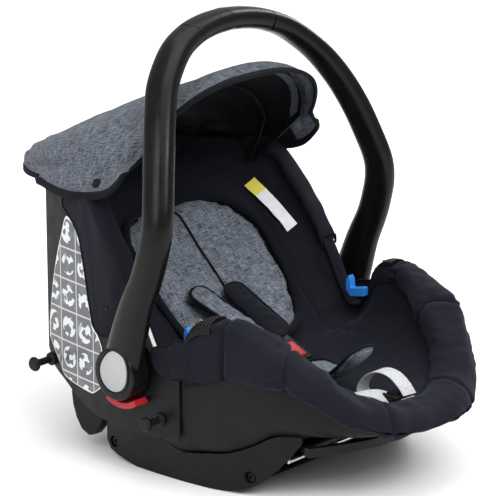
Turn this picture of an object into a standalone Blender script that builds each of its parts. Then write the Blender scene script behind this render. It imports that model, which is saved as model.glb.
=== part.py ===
"""Infant car seat: rocker base, bucket shell, swinging carry handle, folding canopy, padding and harness."""
import math

import bmesh
import bpy
from mathutils import Matrix, Vector
from mathutils.bvhtree import BVHTree

# Overall frame of the seat. The foot end is -Y, the head end is +Y, and X = 0 is the symmetry plane.
GAP = 0.0003

# Plan outline of the bucket shell: a squarish front and an elliptical head end.
HALF_WIDTH = 0.184
CENTRE_Y = 0.020
FRONT_LENGTH = 0.298
HEAD_LENGTH = 0.285
FRONT_POWER = 2.35
HEAD_POWER = 2.0

# The padded roll at the foot end and the canopy's rear hem set the overall length.
BOLSTER_REACH = 0.0255
BOLSTER_DEPTH = 0.0190
FOOT_Y = CENTRE_Y - FRONT_LENGTH - BOLSTER_REACH
HEAD_Y = 0.3200
ROOT_Y = -(FOOT_Y + HEAD_Y) / 2

# Walls of the bucket, measured inwards from the plan outline.
SHELL_WALL = 0.004
FOAM_OUT = 0.0058
FOAM_IN = 0.0115
COVER_OUT = FOAM_IN + GAP
COVER_IN = 0.0170

# Handle pivot and the stack of parts at each hub, as distances from X = 0.
PIVOT_Y = 0.020
PIVOT_Z = 0.137
BOSS_IN, BOSS_OUT = 0.1894, 0.1950
BOSS_RADIUS = 0.0270
HUB_IN, HUB_OUT = 0.1954, 0.2225
HUB_RADIUS = 0.0325
GEAR_CAVITY_DEPTH = 0.0150
GEAR_CAVITY_RADIUS = 0.0225
PIN_RADIUS = 0.0050

# Canopy hinge.
CANOPY_Y = 0.125
CANOPY_Z = 0.322
CANOPY_HINGE_X = 0.1440

# Height curves along Y: (y, z) stations joined by smooth curves.
SHELL_FLOOR = ((-0.278, 0.0780), (-0.230, 0.0750), (-0.166, 0.068), (-0.134, 0.046), (-0.094, 0.028),
               (-0.053, 0.024), (0.000, 0.032), (0.044, 0.040), (0.095, 0.046), (0.150, 0.062),
               (0.220, 0.120), (0.310, 0.215))
RIM = ((-0.278, 0.1020), (-0.262, 0.110), (-0.244, 0.127), (-0.226, 0.146), (-0.205, 0.163),
       (-0.185, 0.179), (-0.160, 0.194), (-0.130, 0.205), (-0.110, 0.208), (-0.090, 0.206),
       (-0.072, 0.196), (-0.055, 0.168), (-0.040, 0.148), (-0.025, 0.145), (-0.010, 0.162),
       (0.014, 0.206), (0.045, 0.258), (0.080, 0.300), (0.105, 0.328), (0.130, 0.338),
       (0.200, 0.340), (0.310, 0.332))
SEAT = ((-0.278, 0.0990), (-0.240, 0.0965), (-0.180, 0.0955), (-0.110, 0.096), (-0.050, 0.104),
        (0.000, 0.132), (0.050, 0.176), (0.100, 0.224), (0.150, 0.270), (0.200, 0.298), (0.310, 0.318))
ROCKER_BOTTOM = ((-0.205, 0.080), (-0.191, 0.059), (-0.172, 0.037), (-0.150, 0.018), (-0.125, 0.006),
                 (-0.095, 0.0015), (-0.080, 0.0), (0.040, 0.0), (0.060, 0.0030), (0.092, 0.010),
                 (0.101, 0.022))


def clear_scene():
    for obj in list(bpy.data.objects):
        bpy.data.objects.remove(obj, do_unlink=True)


def stations_between(first, last, count):
    return [first + (last - first) * i / (count - 1) for i in range(count)]


def curve_value(stations, y):
    """Height at y on a monotone cubic curve through the stations."""
    ys = [p[0] for p in stations]
    zs = [p[1] for p in stations]
    if y <= ys[0]:
        return zs[0]
    if y >= ys[-1]:
        return zs[-1]
    i = max(k for k in range(len(ys) - 1) if ys[k] <= y)
    slopes = [(zs[k + 1] - zs[k]) / (ys[k + 1] - ys[k]) for k in range(len(ys) - 1)]

    def tangent(k):
        if k == 0 or k == len(ys) - 1:
            return slopes[min(k, len(slopes) - 1)]
        if slopes[k - 1] * slopes[k] <= 0:
            return 0.0
        return 2 * slopes[k - 1] * slopes[k] / (slopes[k - 1] + slopes[k])

    h = ys[i + 1] - ys[i]
    t = (y - ys[i]) / h
    a, b = tangent(i) * h, tangent(i + 1) * h
    return ((2 * t ** 3 - 3 * t ** 2 + 1) * zs[i] + (t ** 3 - 2 * t ** 2 + t) * a
            + (-2 * t ** 3 + 3 * t ** 2) * zs[i + 1] + (t ** 3 - t ** 2) * b)


def plan_point(angle, inset=0.0):
    """Point of the plan outline at this angle from +X, drawn in by inset."""
    c, s = math.cos(angle), math.sin(angle)
    power = FRONT_POWER if s < 0 else HEAD_POWER
    length = (FRONT_LENGTH if s < 0 else HEAD_LENGTH) - inset
    x = (HALF_WIDTH - inset) * math.copysign(abs(c) ** (2 / power), c)
    return x, CENTRE_Y + length * math.copysign(abs(s) ** (2 / power), s)


def plan_x(y, inset=0.0):
    """Half-width of the plan outline at y."""
    power = FRONT_POWER if y < CENTRE_Y else HEAD_POWER
    length = (FRONT_LENGTH if y < CENTRE_Y else HEAD_LENGTH) - inset
    u = min(1.0, abs(y - CENTRE_Y) / length)
    return (HALF_WIDTH - inset) * (1 - u ** power) ** (1 / power)


def plan_normal(y):
    """Outward unit normal of the +X side of the plan outline at y."""
    step = 0.001
    slope = (plan_x(y + step) - plan_x(y - step)) / (2 * step)
    length = math.hypot(1.0, slope)
    return 1.0 / length, -slope / length


def bowl_height(x, y, inset, power, floor, floor_lift, rim_lift):
    """Height of a bowl skin above the plan point (x, y)."""
    front = y < CENTRE_Y
    n = FRONT_POWER if front else HEAD_POWER
    length = (FRONT_LENGTH if front else HEAD_LENGTH) - inset
    s = (abs(x / (HALF_WIDTH - inset)) ** n + abs((y - CENTRE_Y) / length) ** n) ** (1 / n)
    s = min(max(s, 1e-6), 1.0)
    share = 1 - (1 - s ** power) ** (1 / power)
    rim_y = CENTRE_Y + (y - CENTRE_Y) / s
    low = curve_value(floor, y) + floor_lift
    return low * (1 - share) + (curve_value(RIM, rim_y) + rim_lift) * share


SEAT_SURFACE = []


def seat_height(x, y):
    """Top surface of the seat cover at a plan point."""
    hit = SEAT_SURFACE[0].ray_cast(Vector((x, y, 1.0)), Vector((0, 0, -1)))[0]
    return hit.z if hit else 0.0


def material(name, colour, roughness, metallic=0.0):
    found = bpy.data.materials.get(name)
    if found:
        return found
    made = bpy.data.materials.new(name)
    made.use_nodes = True
    shader = made.node_tree.nodes["Principled BSDF"]
    shader.inputs["Base Color"].default_value = (*colour, 1.0)
    shader.inputs["Roughness"].default_value = roughness
    shader.inputs["Metallic"].default_value = metallic
    return made


FINISHES = {
    "shell_plastic": ((0.028, 0.027, 0.030), 0.42, 0.0),
    "handle_plastic": ((0.026, 0.022, 0.020), 0.50, 0.0),
    "trim_plastic": ((0.012, 0.012, 0.013), 0.50, 0.0),
    "navy_fabric": ((0.016, 0.018, 0.030), 0.90, 0.0),
    "grey_fabric": ((0.200, 0.225, 0.265), 0.90, 0.0),
    "black_fabric": ((0.012, 0.012, 0.014), 0.90, 0.0),
    "white_foam": ((0.850, 0.850, 0.840), 0.85, 0.0),
    "webbing": ((0.020, 0.020, 0.022), 0.80, 0.0),
    "white_webbing": ((0.780, 0.790, 0.800), 0.80, 0.0),
    "red_plastic": ((0.640, 0.030, 0.040), 0.35, 0.0),
    "blue_plastic": ((0.030, 0.220, 0.680), 0.35, 0.0),
    "steel": ((0.620, 0.620, 0.630), 0.28, 1.0),
}


def new_object(name, mesh, finish, root, smooth_angle=35.0):
    """Adds a part to the scene under the seat's root empty."""
    obj = bpy.data.objects.new(name, mesh)
    bpy.context.scene.collection.objects.link(obj)
    if root is not None:
        obj.parent = root
    if finish:
        mesh.materials.clear()
        mesh.materials.append(material(finish, *FINISHES[finish]))
    mesh.shade_smooth()
    mesh.set_sharp_from_angle(angle=math.radians(smooth_angle))
    return obj


def mesh_from(bm, name):
    bmesh.ops.recalc_face_normals(bm, faces=bm.faces)
    mesh = bpy.data.meshes.new(name)
    bm.to_mesh(mesh)
    bm.free()
    return mesh


def loft(name, rings, closed=False, caps=True):
    """A skin through rings of points with equal counts. Ends are capped unless the loft closes on itself."""
    bm = bmesh.new()
    rows = [[bm.verts.new(p) for p in ring] for ring in rings]
    count = len(rows[0])
    pairs = list(zip(rows, rows[1:]))
    if closed:
        pairs.append((rows[-1], rows[0]))
    for low, high in pairs:
        for i in range(count):
            j = (i + 1) % count
            bm.faces.new((low[i], low[j], high[j], high[i]))
    if caps and not closed:
        bm.faces.new(rows[0])
        bm.faces.new(rows[-1])
    return mesh_from(bm, name)


def prism_x(name, outline, x_in, x_out, side=1.0):
    """A plate with this (y, z) outline between two distances from X = 0, on the given side."""
    rings = [[(side * x, y, z) for y, z in outline] for x in (x_in, x_out)]
    return loft(name, rings)


def disc_outline(y, z, radius, count=32, start=0.0):
    return [(y + radius * math.cos(start + math.tau * i / count),
             z + radius * math.sin(start + math.tau * i / count))
            for i in range(count)]


def add_cutter(target, mesh, operation="DIFFERENCE"):
    """Boolean with a hidden helper mesh."""
    helper = bpy.data.objects.new(target.name + "_tool", mesh)
    bpy.context.scene.collection.objects.link(helper)
    helper.parent = target.parent
    helper.location = target.location
    helper.hide_render = True
    helper.display_type = "WIRE"
    modifier = target.modifiers.new("boolean_" + str(len(target.modifiers)), "BOOLEAN")
    modifier.operation = operation
    modifier.solver = "EXACT"
    modifier.object = helper
    return helper


def bevel(obj, width, segments=2, angle=40.0):
    modifier = obj.modifiers.new("edges", "BEVEL")
    modifier.width = width
    modifier.segments = segments
    modifier.limit_method = "ANGLE"
    modifier.angle_limit = math.radians(angle)


def side_name(base, side):
    return base + ("_right" if side > 0 else "_left")


# ---------------------------------------------------------------- bucket

SIDE_STEP = 0.020
SIDE_LAST = 0.140
ARC_POINTS = 9


def plan_angles():
    """Angles of the plan points: even steps of Y along both sides, and even angles round both ends."""
    def side_angle(y):
        power = FRONT_POWER if y < CENTRE_Y else HEAD_POWER
        length = FRONT_LENGTH if y < CENTRE_Y else HEAD_LENGTH
        u = (y - CENTRE_Y) / length
        return math.asin(math.copysign(abs(u) ** (power / 2), u))

    count = round(2 * SIDE_LAST / SIDE_STEP) + 1
    right = [side_angle(y) for y in stations_between(-SIDE_LAST, SIDE_LAST, count)]
    head = stations_between(right[-1], math.pi - right[-1], ARC_POINTS + 2)[1:-1]
    left = [math.pi - a for a in reversed(right)]
    foot = stations_between(math.pi - right[0], math.tau + right[0], ARC_POINTS + 2)[1:-1]
    return right + head + left + foot


def bowl_rings(inset, power, floor, floor_lift, rim_lift, steps):
    """Rings of a bowl skin from near its centre out to the rim."""
    angles = plan_angles()
    rings = []
    for k in range(1, steps + 1):
        phi = (k / steps) ** 0.85 * math.pi / 2
        s = math.sin(phi) ** (2 / power)
        share = 1 - math.cos(phi) ** (2 / power) if k < steps else 1.0
        ring = []
        for angle in angles:
            px, py = plan_point(angle, inset)
            x, y = s * px, CENTRE_Y + s * (py - CENTRE_Y)
            low = curve_value(floor, y) + floor_lift
            ring.append((x, y, low * (1 - share) + (curve_value(RIM, py) + rim_lift) * share))
        rings.append(ring)
    return rings


def bowl(name, outer, inner, steps):
    """A bucket wall between two bowl skins, joined at the rim, with a closing fan at each centre."""
    skins = [bowl_rings(*outer, steps), bowl_rings(*inner, steps)]
    turns = len(skins[0][0])
    bm = bmesh.new()
    rows = [[[bm.verts.new(p) for p in ring] for ring in skin] for skin in skins]
    for skin_rows, spec in zip(rows, (outer, inner)):
        centre = bm.verts.new((0, CENTRE_Y, curve_value(spec[2], CENTRE_Y) + spec[3]))
        first = skin_rows[0]
        for i in range(turns):
            bm.faces.new((centre, first[i], first[(i + 1) % turns]))
        for low, high in zip(skin_rows, skin_rows[1:]):
            for i in range(turns):
                j = (i + 1) % turns
                bm.faces.new((low[i], low[j], high[j], high[i]))
    for i in range(turns):
        j = (i + 1) % turns
        bm.faces.new((rows[0][-1][i], rows[0][-1][j], rows[1][-1][j], rows[1][-1][i]))
    return mesh_from(bm, name)


SHELL_OUTER = (0.0, 6.0, SHELL_FLOOR, 0.0, -0.004)
SHELL_INNER = (SHELL_WALL, 6.0, SHELL_FLOOR, 0.004, -0.004)
FOAM_OUTER = (FOAM_OUT, 3.4, SEAT, -0.0140, -0.006)
FOAM_INNER = (FOAM_IN, 3.0, SEAT, -0.0080, -0.006)
COVER_OUTER = (COVER_OUT, 3.0, SEAT, -0.0065, -0.004)
COVER_INNER = (COVER_IN, 2.6, SEAT, 0.0, -0.002)


def make_shell(root):
    """Bucket shell with slots for the shoulder straps and the crotch strap."""
    shell = new_object("seat_shell", bowl("seat_shell", SHELL_OUTER, SHELL_INNER, 9), "shell_plastic",
                       root, 50)
    return shell


def make_foam(root):
    new_object("foam_liner", bowl("foam_liner", FOAM_OUTER, FOAM_INNER, 7), "white_foam", root, 60)


def make_cover(root):
    mesh = bowl("seat_cover", COVER_OUTER, COVER_INNER, 7)
    new_object("seat_cover", mesh, "navy_fabric", root, 60)
    SEAT_SURFACE.append(BVHTree.FromPolygons([v.co for v in mesh.vertices],
                                             [p.vertices for p in mesh.polygons]))


def skirt(name, side, ys, low, high, d_in, d_out):
    """A wall along the flared side of the plan outline, between two heights and two outward offsets."""
    rings = []
    for y in ys:
        nx, ny = plan_normal(y)
        x = plan_x(y)
        ring = []
        for d, z in ((d_in, low(y)), (d_out, low(y)), (d_out, high(y)), (d_in, high(y))):
            reach = d + flare(y)
            ring.append((side * (x + nx * reach), y + ny * reach, z))
        rings.append(ring)
    return loft(name, rings)


PANEL_LOW = ((-0.055, 0.060), (0.000, 0.056), (0.060, 0.056), (0.105, 0.062), (0.130, 0.072),
             (0.160, 0.088), (0.180, 0.098), (0.192, 0.120))
PANEL_FRONT, PANEL_BACK = -0.052, 0.192
PANEL_IN, PANEL_OUT = GAP, 0.0042
FLARE_START, FLARE_DEPTH = 0.080, 0.010


def flare(y):
    """How far the side panel stands off the bucket towards the head end."""
    return FLARE_DEPTH * max(0.0, (y - FLARE_START) / (PANEL_BACK - FLARE_START)) ** 2


def panel_x(y):
    """Distance from X = 0 to the side panel's outer face at y."""
    reach = PANEL_OUT + flare(y)
    nx, ny = plan_normal(y)
    return plan_x(y) + reach / nx + 0.0004


def make_panels(root):
    """Outer side panels over the bucket's flanks."""
    for side in (-1, 1):
        name = side_name("side_panel", side)
        mesh = skirt(name, side, stations_between(PANEL_FRONT, PANEL_BACK, 22),
                     lambda y: curve_value(PANEL_LOW, y),
                     lambda y: curve_value(RIM, y) - 0.003, PANEL_IN, PANEL_OUT)
        new_object(name, mesh, "shell_plastic", root)


# ---------------------------------------------------------------- base

ROCKER_INSET = 0.018
ROCKER_WALL = 0.010
SCREW_SPOTS = ((0.082, 0.021), (-0.132, 0.024))
ROD_Y, ROD_Z, ROD_RADIUS = -0.176, 0.0500, 0.0030
BAR_Y, BAR_Z, BAR_RADIUS = -0.186, 0.0630, 0.0045


def under_shell(x, y):
    return bowl_height(x, y, 0.0, 6.0, SHELL_FLOOR, 0.0, -0.004) - 0.0016


def rocker_ring(side, y):
    nx, ny = plan_normal(y)
    x = plan_x(y)
    ring = []
    bottom = curve_value(ROCKER_BOTTOM, y)
    for d in (-ROCKER_INSET - ROCKER_WALL, -ROCKER_INSET):
        px, py = x + nx * d, y + ny * d
        ring.append((side * px, py, bottom))
    for d in (-ROCKER_INSET, -ROCKER_INSET - ROCKER_WALL / 2, -ROCKER_INSET - ROCKER_WALL):
        px, py = x + nx * d, y + ny * d
        ring.append((side * px, py, max(bottom + 0.002, under_shell(px, py) - 0.0020)))
    return ring


def make_rockers(root):
    """The two walls that the seat rocks on, with a flat rest under its centre of mass."""
    ys = ([-0.200, -0.188, -0.172, -0.160, -0.150, -0.138, -0.125, -0.110, -0.095, -0.080]
          + stations_between(-0.060, 0.040, 6) + [0.060, 0.076, 0.092, 0.100])
    for side in (-1, 1):
        name = side_name("rocker", side)
        rocker = new_object(name, loft(name, [rocker_ring(side, y) for y in ys]), "shell_plastic", root)
        for y, z in SCREW_SPOTS:
            face = plan_x(y) - ROCKER_INSET
            add_cutter(rocker, prism_x("screw_pocket", disc_outline(y, z, 0.0075, 20), face - 0.0065,
                                       face + 0.01, side))
        add_cutter(rocker, prism_x("rod_hole", disc_outline(ROD_Y, ROD_Z, ROD_RADIUS + GAP, 12), 0.10,
                                   plan_x(ROD_Y) - ROCKER_INSET - 0.003, side))


def make_screws(root):
    number = 0
    for side in (-1, 1):
        for y, z in SCREW_SPOTS:
            number += 1
            face = plan_x(y) - ROCKER_INSET - 0.0065 + GAP
            name = "base_screw_" + str(number)
            screw = new_object(name, prism_x(name, disc_outline(y, z, 0.0055, 20), face, face + 0.003,
                                             side), "steel", root)
            add_cutter(screw, prism_x("socket", disc_outline(y, z, 0.0024, 6), face + 0.0012,
                                      face + 0.01, side))


def cylinder_x(name, y, z, radius, x_from, x_to, count=24):
    rings = [[(x, py, pz) for py, pz in disc_outline(y, z, radius, count)] for x in (x_from, x_to)]
    return loft(name, rings)


PAN_LOW, PAN_HIGH = 0.006, 0.010
PAN_FRONT, PAN_BACK = -0.118, 0.088


def make_base_pan(root):
    """Floor plate between the rockers, with upstands along its sides."""
    rings = []
    for y in stations_between(PAN_FRONT, PAN_BACK, 8):
        half = plan_x(y) - (ROCKER_INSET + ROCKER_WALL) / plan_normal(y)[0] - GAP * 3
        rings.append([(-half, y, PAN_LOW), (half, y, PAN_LOW), (half, y, PAN_HIGH + 0.008),
                      (half - 0.004, y, PAN_HIGH + 0.008), (half - 0.004, y, PAN_HIGH),
                      (-half + 0.004, y, PAN_HIGH), (-half + 0.004, y, PAN_HIGH + 0.008), (-half, y,
                                                                                           PAN_HIGH + 0.008)])
    new_object("base_pan", loft("base_pan", rings), "shell_plastic", root)


def make_rods(root):
    half = plan_x(ROD_Y) - ROCKER_INSET - 0.0035
    new_object("front_rod", cylinder_x("front_rod", ROD_Y, ROD_Z, ROD_RADIUS, -half, half, 12), "steel",
               root)
    bar_half = plan_x(BAR_Y) - ROCKER_INSET - ROCKER_WALL - 0.004
    new_object("front_cross_bar", cylinder_x("front_cross_bar", BAR_Y, BAR_Z, BAR_RADIUS, -bar_half,
                                             bar_half, 14),
               "trim_plastic", root)


def make_front_lip(root):
    """Curved lip below the foot end of the bucket, between the tips of the rockers."""
    rings = []
    for i in range(15):
        x = -0.130 + 0.260 * i / 14
        y = -0.240 + 0.035 * (x / 0.130) ** 2
        z = min(0.074, under_shell(x, y) - 0.004)
        rings.append([(x, y - 0.004, z - 0.012), (x, y + 0.004, z - 0.012), (x, y + 0.004, z), (x,
                                                                                                y - 0.004, z)])
    new_object("front_lip", loft("front_lip", rings), "trim_plastic", root)


FOOT_OUTLINE = ((0.104, 0.050), (0.110, 0.032), (0.120, 0.020), (0.132, 0.015), (0.145, 0.021),
                (0.154, 0.034), (0.160, 0.051), (0.162, 0.066))


def make_rear_feet(root):
    """Rounded feet under the head end that stop the seat from tipping back."""
    for side in (-1, 1):
        name = side_name("rear_foot", side)
        rings = []
        for x in (0.143, 0.157):
            top = [(side * x, y, under_shell(x, y) - 0.0030) for y in (0.162, 0.148, 0.133, 0.118, 0.104)]
            rings.append([(side * x, y, z) for y, z in FOOT_OUTLINE] + top)
        foot = new_object(name, loft(name, rings), "shell_plastic", root)
        bevel(foot, 0.0025, 1)


PIN_SPOTS = {"rear": (0.184, 0.108), "front": (-0.024, 0.082)}
PIN_LENGTH = {"rear": 0.034, "front": 0.0295}


def make_adapter_pins(root):
    """Mushroom-headed pins that a pushchair frame's adapters hook on."""
    for side in (-1, 1):
        for place, (y, z) in PIN_SPOTS.items():
            name = side_name(place + "_adapter_pin", side)
            tall = PIN_LENGTH[place]
            base = panel_x(y - 0.0085) + GAP
            profile = ((0.0085, 0.0030), (0.0045, 0.0045), (0.0045, tall - 0.0075), (0.0090, tall - 0.0060),
                       (0.0095, tall - 0.0030), (0.0070, tall))
            rings = [[(side * (panel_x(py) + GAP), py, pz) for py, pz in disc_outline(y, z, 0.0085, 16)]]
            rings += [[(side * (base + d), py, pz) for py, pz in disc_outline(y, z, r, 16)] for r,
                      d in profile]
            new_object(name, loft(name, rings), "trim_plastic", root)


# ---------------------------------------------------------------- handle

# Right half of the handle's centreline as (x, y, z), from inside the hub to the middle of the grip.
HANDLE_PATH = ((0.2100, 0.0200, 0.1370), (0.2100, -0.0040, 0.2150), (0.2095, -0.0220, 0.2570),
               (0.2085, -0.0310, 0.2850), (0.2065, -0.0368, 0.3120), (0.2020, -0.0362, 0.3380),
               (0.1910, -0.0270, 0.3740), (0.1780, -0.0160, 0.4100), (0.1615, -0.0020, 0.4450),
               (0.1390, 0.0140, 0.4780), (0.1030, 0.0290, 0.5085), (0.0680, 0.0370, 0.5240),
               (0.0340, 0.0410, 0.5312), (0.0, 0.0420, 0.5340))
SEAM_INDEX = 11
PATH_STEPS = 2
HANDLE_FORE_AFT = 0.0210
HANDLE_ACROSS = 0.0135


def smooth_path(points, per_span):
    """Catmull-Rom curve through the points."""
    pts = [Vector(p) for p in points]
    pts = [pts[0] * 2 - pts[1]] + pts + [pts[-1] * 2 - pts[-2]]
    out = []
    for i in range(1, len(pts) - 2):
        a, b, c, d = pts[i - 1:i + 3]
        for k in range(per_span):
            t = k / per_span
            out.append(0.5 * (2 * b + (c - a) * t + (2 * a - 5 * b + 4 * c - d) * t * t
                              + (3 * b - a - 3 * c + d) * t ** 3))
    out.append(pts[-2])
    return out


def handle_rings(points, around=14):
    """Oval rings square to the path. The long axis of the oval lies fore and aft."""
    rings = []
    for i, p in enumerate(points):
        ahead = points[min(i + 1, len(points) - 1)]
        behind = points[max(i - 1, 0)]
        along = (ahead - behind).normalized()
        fore = Vector((0, 1, 0)) - along * along.y
        fore.normalize()
        across = along.cross(fore)
        ring = []
        for k in range(around):
            a = math.tau * (k + 0.5) / around
            ca, sa = math.cos(a), math.sin(a)
            u = HANDLE_FORE_AFT * math.copysign(abs(ca) ** 0.85, ca)
            v = HANDLE_ACROSS * math.copysign(abs(sa) ** 0.85, sa)
            ring.append(tuple(p + fore * u + across * v))
        rings.append(ring)
    return rings


def about_pivot(points):
    """Points moved so that the handle's pivot is the origin."""
    return [[(x, y - PIVOT_Y, z - PIVOT_Z) for x, y, z in ring] for ring in points]


def mirrored(rings):
    return [[(-x, y, z) for x, y, z in ring] for ring in rings]


def make_handle(root):
    """Two legs with hub discs, and the grip between them, on one pivot."""
    pivot = bpy.data.objects.new("handle_pivot", None)
    bpy.context.scene.collection.objects.link(pivot)
    pivot.parent = root
    pivot.location = (0, PIVOT_Y, PIVOT_Z)
    path = smooth_path(HANDLE_PATH, PATH_STEPS)
    path.append(Vector((-path[-2].x, path[-2].y, path[-2].z)))
    rings = about_pivot(handle_rings(path)[:-1])
    seam = SEAM_INDEX * PATH_STEPS
    for side in (-1, 1):
        name = side_name("handle_leg", side)
        leg_rings = rings[:seam + 1] if side > 0 else mirrored(rings[:seam + 1])
        leg = new_object(name, loft(name, leg_rings), "handle_plastic", pivot, 50)
        hub = prism_x("hub_disc", disc_outline(0, 0, HUB_RADIUS, 32), HUB_IN, HUB_OUT, side)
        add_cutter(leg, hub, "UNION")
        cavity = prism_x("gear_cavity", disc_outline(0, 0, GEAR_CAVITY_RADIUS, 28), HUB_IN - 0.05,
                         HUB_IN + GEAR_CAVITY_DEPTH, side)
        add_cutter(leg, cavity)
    along = (path[seam + 1] - path[seam]).normalized()
    first = [tuple(Vector(p) + along * GAP) for p in rings[seam]]
    half = [first] + rings[seam + 1:]
    new_object("handle_grip", loft("handle_grip", half + mirrored(half[:-1])[::-1]), "handle_plastic",
               pivot, 50)


def make_hubs(root):
    """Fixed boss, pivot pin, toothed lock ring, release button and its spring on each side."""
    for side in (-1, 1):
        name = side_name("hub_boss", side)
        boss = new_object(name, prism_x(name, disc_outline(PIVOT_Y, PIVOT_Z, BOSS_RADIUS, 32), BOSS_IN,
                                        BOSS_OUT, side),
                          "trim_plastic", root)
        add_cutter(boss, prism_x("pin_hole", disc_outline(PIVOT_Y, PIVOT_Z, PIN_RADIUS + GAP, 16),
                                 BOSS_IN + 0.0015,
                                 BOSS_OUT + 0.01, side))
        name = side_name("pivot_pin", side)
        pin_end = HUB_IN + GEAR_CAVITY_DEPTH - GAP
        new_object(name, prism_x(name, disc_outline(PIVOT_Y, PIVOT_Z, PIN_RADIUS, 16), BOSS_IN + 0.0018,
                                 pin_end, side),
                   "steel", root)
        make_lock_ring(root, side)
        make_release(root, side)


LOCK_TEETH = 12
LOCK_IN, LOCK_OUT = 0.0035, 0.0105
LOCK_TRAVEL = 0.0025
RELEASE_TRAVEL = 0.0030


def make_lock_ring(root, side):
    """Toothed ring that locks the handle. It slides on the pivot pin when the release is pressed."""
    outline = []
    for i in range(LOCK_TEETH * 4):
        a = math.tau * i / (LOCK_TEETH * 4)
        r = 0.0215 if i % 4 < 2 else 0.0185
        outline.append((r * math.cos(a), r * math.sin(a)))
    name = side_name("lock_ring", side)
    ring = new_object(name, prism_x(name, outline, HUB_IN + LOCK_IN, HUB_IN + LOCK_OUT, side), "steel",
                      root)
    ring.location = (0, PIVOT_Y, PIVOT_Z)
    bore = add_cutter(ring, prism_x("bore", disc_outline(0, 0, PIN_RADIUS + GAP, 16), HUB_IN,
                                    HUB_IN + 0.03, side))
    bore.location = ring.location


BUTTON_INNER, BUTTON_OUTER = 0.0372, 0.0450
BUTTON_IN, BUTTON_OUT = 0.1892, 0.2120


def make_release(root, side):
    """Red release button below the hub, with its return spring."""
    arc = [math.radians(a) for a in (-125, -115, -105, -95, -85, -75, -65, -57)]
    outline = [(PIVOT_Y + BUTTON_OUTER * math.cos(a), PIVOT_Z + BUTTON_OUTER * math.sin(a)) for a in arc]
    outline += [(PIVOT_Y + BUTTON_INNER * math.cos(a),
                 PIVOT_Z + BUTTON_INNER * math.sin(a)) for a in reversed(arc)]
    name = side_name("release_button", side)
    new_object(name, prism_x(name, outline, BUTTON_IN, BUTTON_OUT, side), "red_plastic", root)
    make_coil(side_name("release_spring", side), root, side * 0.1925, PIVOT_Y,
              PIVOT_Z - BUTTON_INNER + GAP * 2,
              PIVOT_Z - BOSS_RADIUS - GAP * 2, 0.0022, 0.00045, 3)


def make_coil(name, root, x, y, z_low, z_high, radius, wire, turns):
    """Compression spring along Z, as a round wire on a helix."""
    rings = []
    steps = turns * 10
    low, high = z_low + wire, z_high - wire
    for i in range(steps + 1):
        a = math.tau * turns * i / steps
        centre = Vector((x + radius * math.cos(a), y + radius * math.sin(a),
                         low + (high - low) * i / steps))
        out = Vector((math.cos(a), math.sin(a), 0))
        rings.append([tuple(centre + out * wire * math.cos(b) + Vector((0, 0, wire * math.sin(b))))
                      for b in (math.tau * k / 6 for k in range(6))])
    new_object(name, loft(name, rings), "steel", root)


# ---------------------------------------------------------------- canopy

# Arches of the canopy, front to back: base y, base z, base half-width, top y, top z.
ARCHES = ((0.035, 0.385, 0.1500, -0.014, 0.4720), (0.058, 0.366, 0.1580, 0.016, 0.4785),
          (0.090, 0.353, 0.1640, 0.062, 0.4660), (0.125, 0.350, 0.1650, 0.118, 0.4410),
          (0.160, 0.350, 0.1590, 0.185, 0.4140), (0.195, 0.348, 0.1470, 0.250, 0.3870),
          (0.212, 0.345, 0.1340, 0.300, 0.3580), (0.212, 0.343, 0.1310, HEAD_Y, 0.3430))
MIDDLE_ARCH = (0.105, 0.360, 0.1510, 0.105, 0.447)
ARCH_POWER = 2.4
CANOPY_THICKNESS = 0.0025


def arch_point(arch, angle, inset=0.0):
    """Point of a canopy arch; angle 0 is the right base, pi the left base."""
    base_y, base_z, half, top_y, top_z = arch
    c, s = math.cos(angle), math.sin(angle)
    run = math.hypot(top_y - base_y, top_z - base_z)
    dy, dz = (top_y - base_y) / run, (top_z - base_z) / run
    x = (half - inset) * math.copysign(abs(c) ** (2 / ARCH_POWER), c)
    rise = (run - inset) * abs(s) ** (2 / ARCH_POWER)
    return Vector((x, base_y + dy * rise, base_z + dz * rise))


def arch_angles(count):
    return [math.pi * i / (count - 1) for i in range(count)]


def make_canopy(root):
    """The canopy's cloth as one thin closed sheet over its bows."""
    angles = arch_angles(21)
    outer = [[tuple(arch_point(arch, a)) for a in angles] for arch in ARCHES]
    inner = [[tuple(arch_point(arch, a, CANOPY_THICKNESS)) for a in angles] for arch in ARCHES]
    rings = [row + list(reversed(other)) for row, other in zip(outer, inner)]
    new_object("canopy", loft("canopy", rings), "grey_fabric", root, 60)


def bow_rings(points, wide, thick):
    """Flat strip rings along a path that arches over X = 0."""
    rings = []
    for i, p in enumerate(points):
        along = (points[min(i + 1, len(points) - 1)] - points[max(i - 1, 0)]).normalized()
        out = Vector((p.x, 0, 0)) + Vector((0, p.y - CANOPY_Y, p.z - CANOPY_Z))
        out = (out - along * out.dot(along)).normalized()
        flat = along.cross(out)
        rings.append([tuple(p + out * thick * u + flat * wide * v) for u, v in ((-1, -1), (1, -1), (1,
                                                                                                    1), (-1, 1))])
    return rings


def hinge_empty(name, root):
    empty = bpy.data.objects.new(name, None)
    bpy.context.scene.collection.objects.link(empty)
    empty.parent = root
    empty.location = (0, CANOPY_Y, CANOPY_Z)
    return empty


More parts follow.
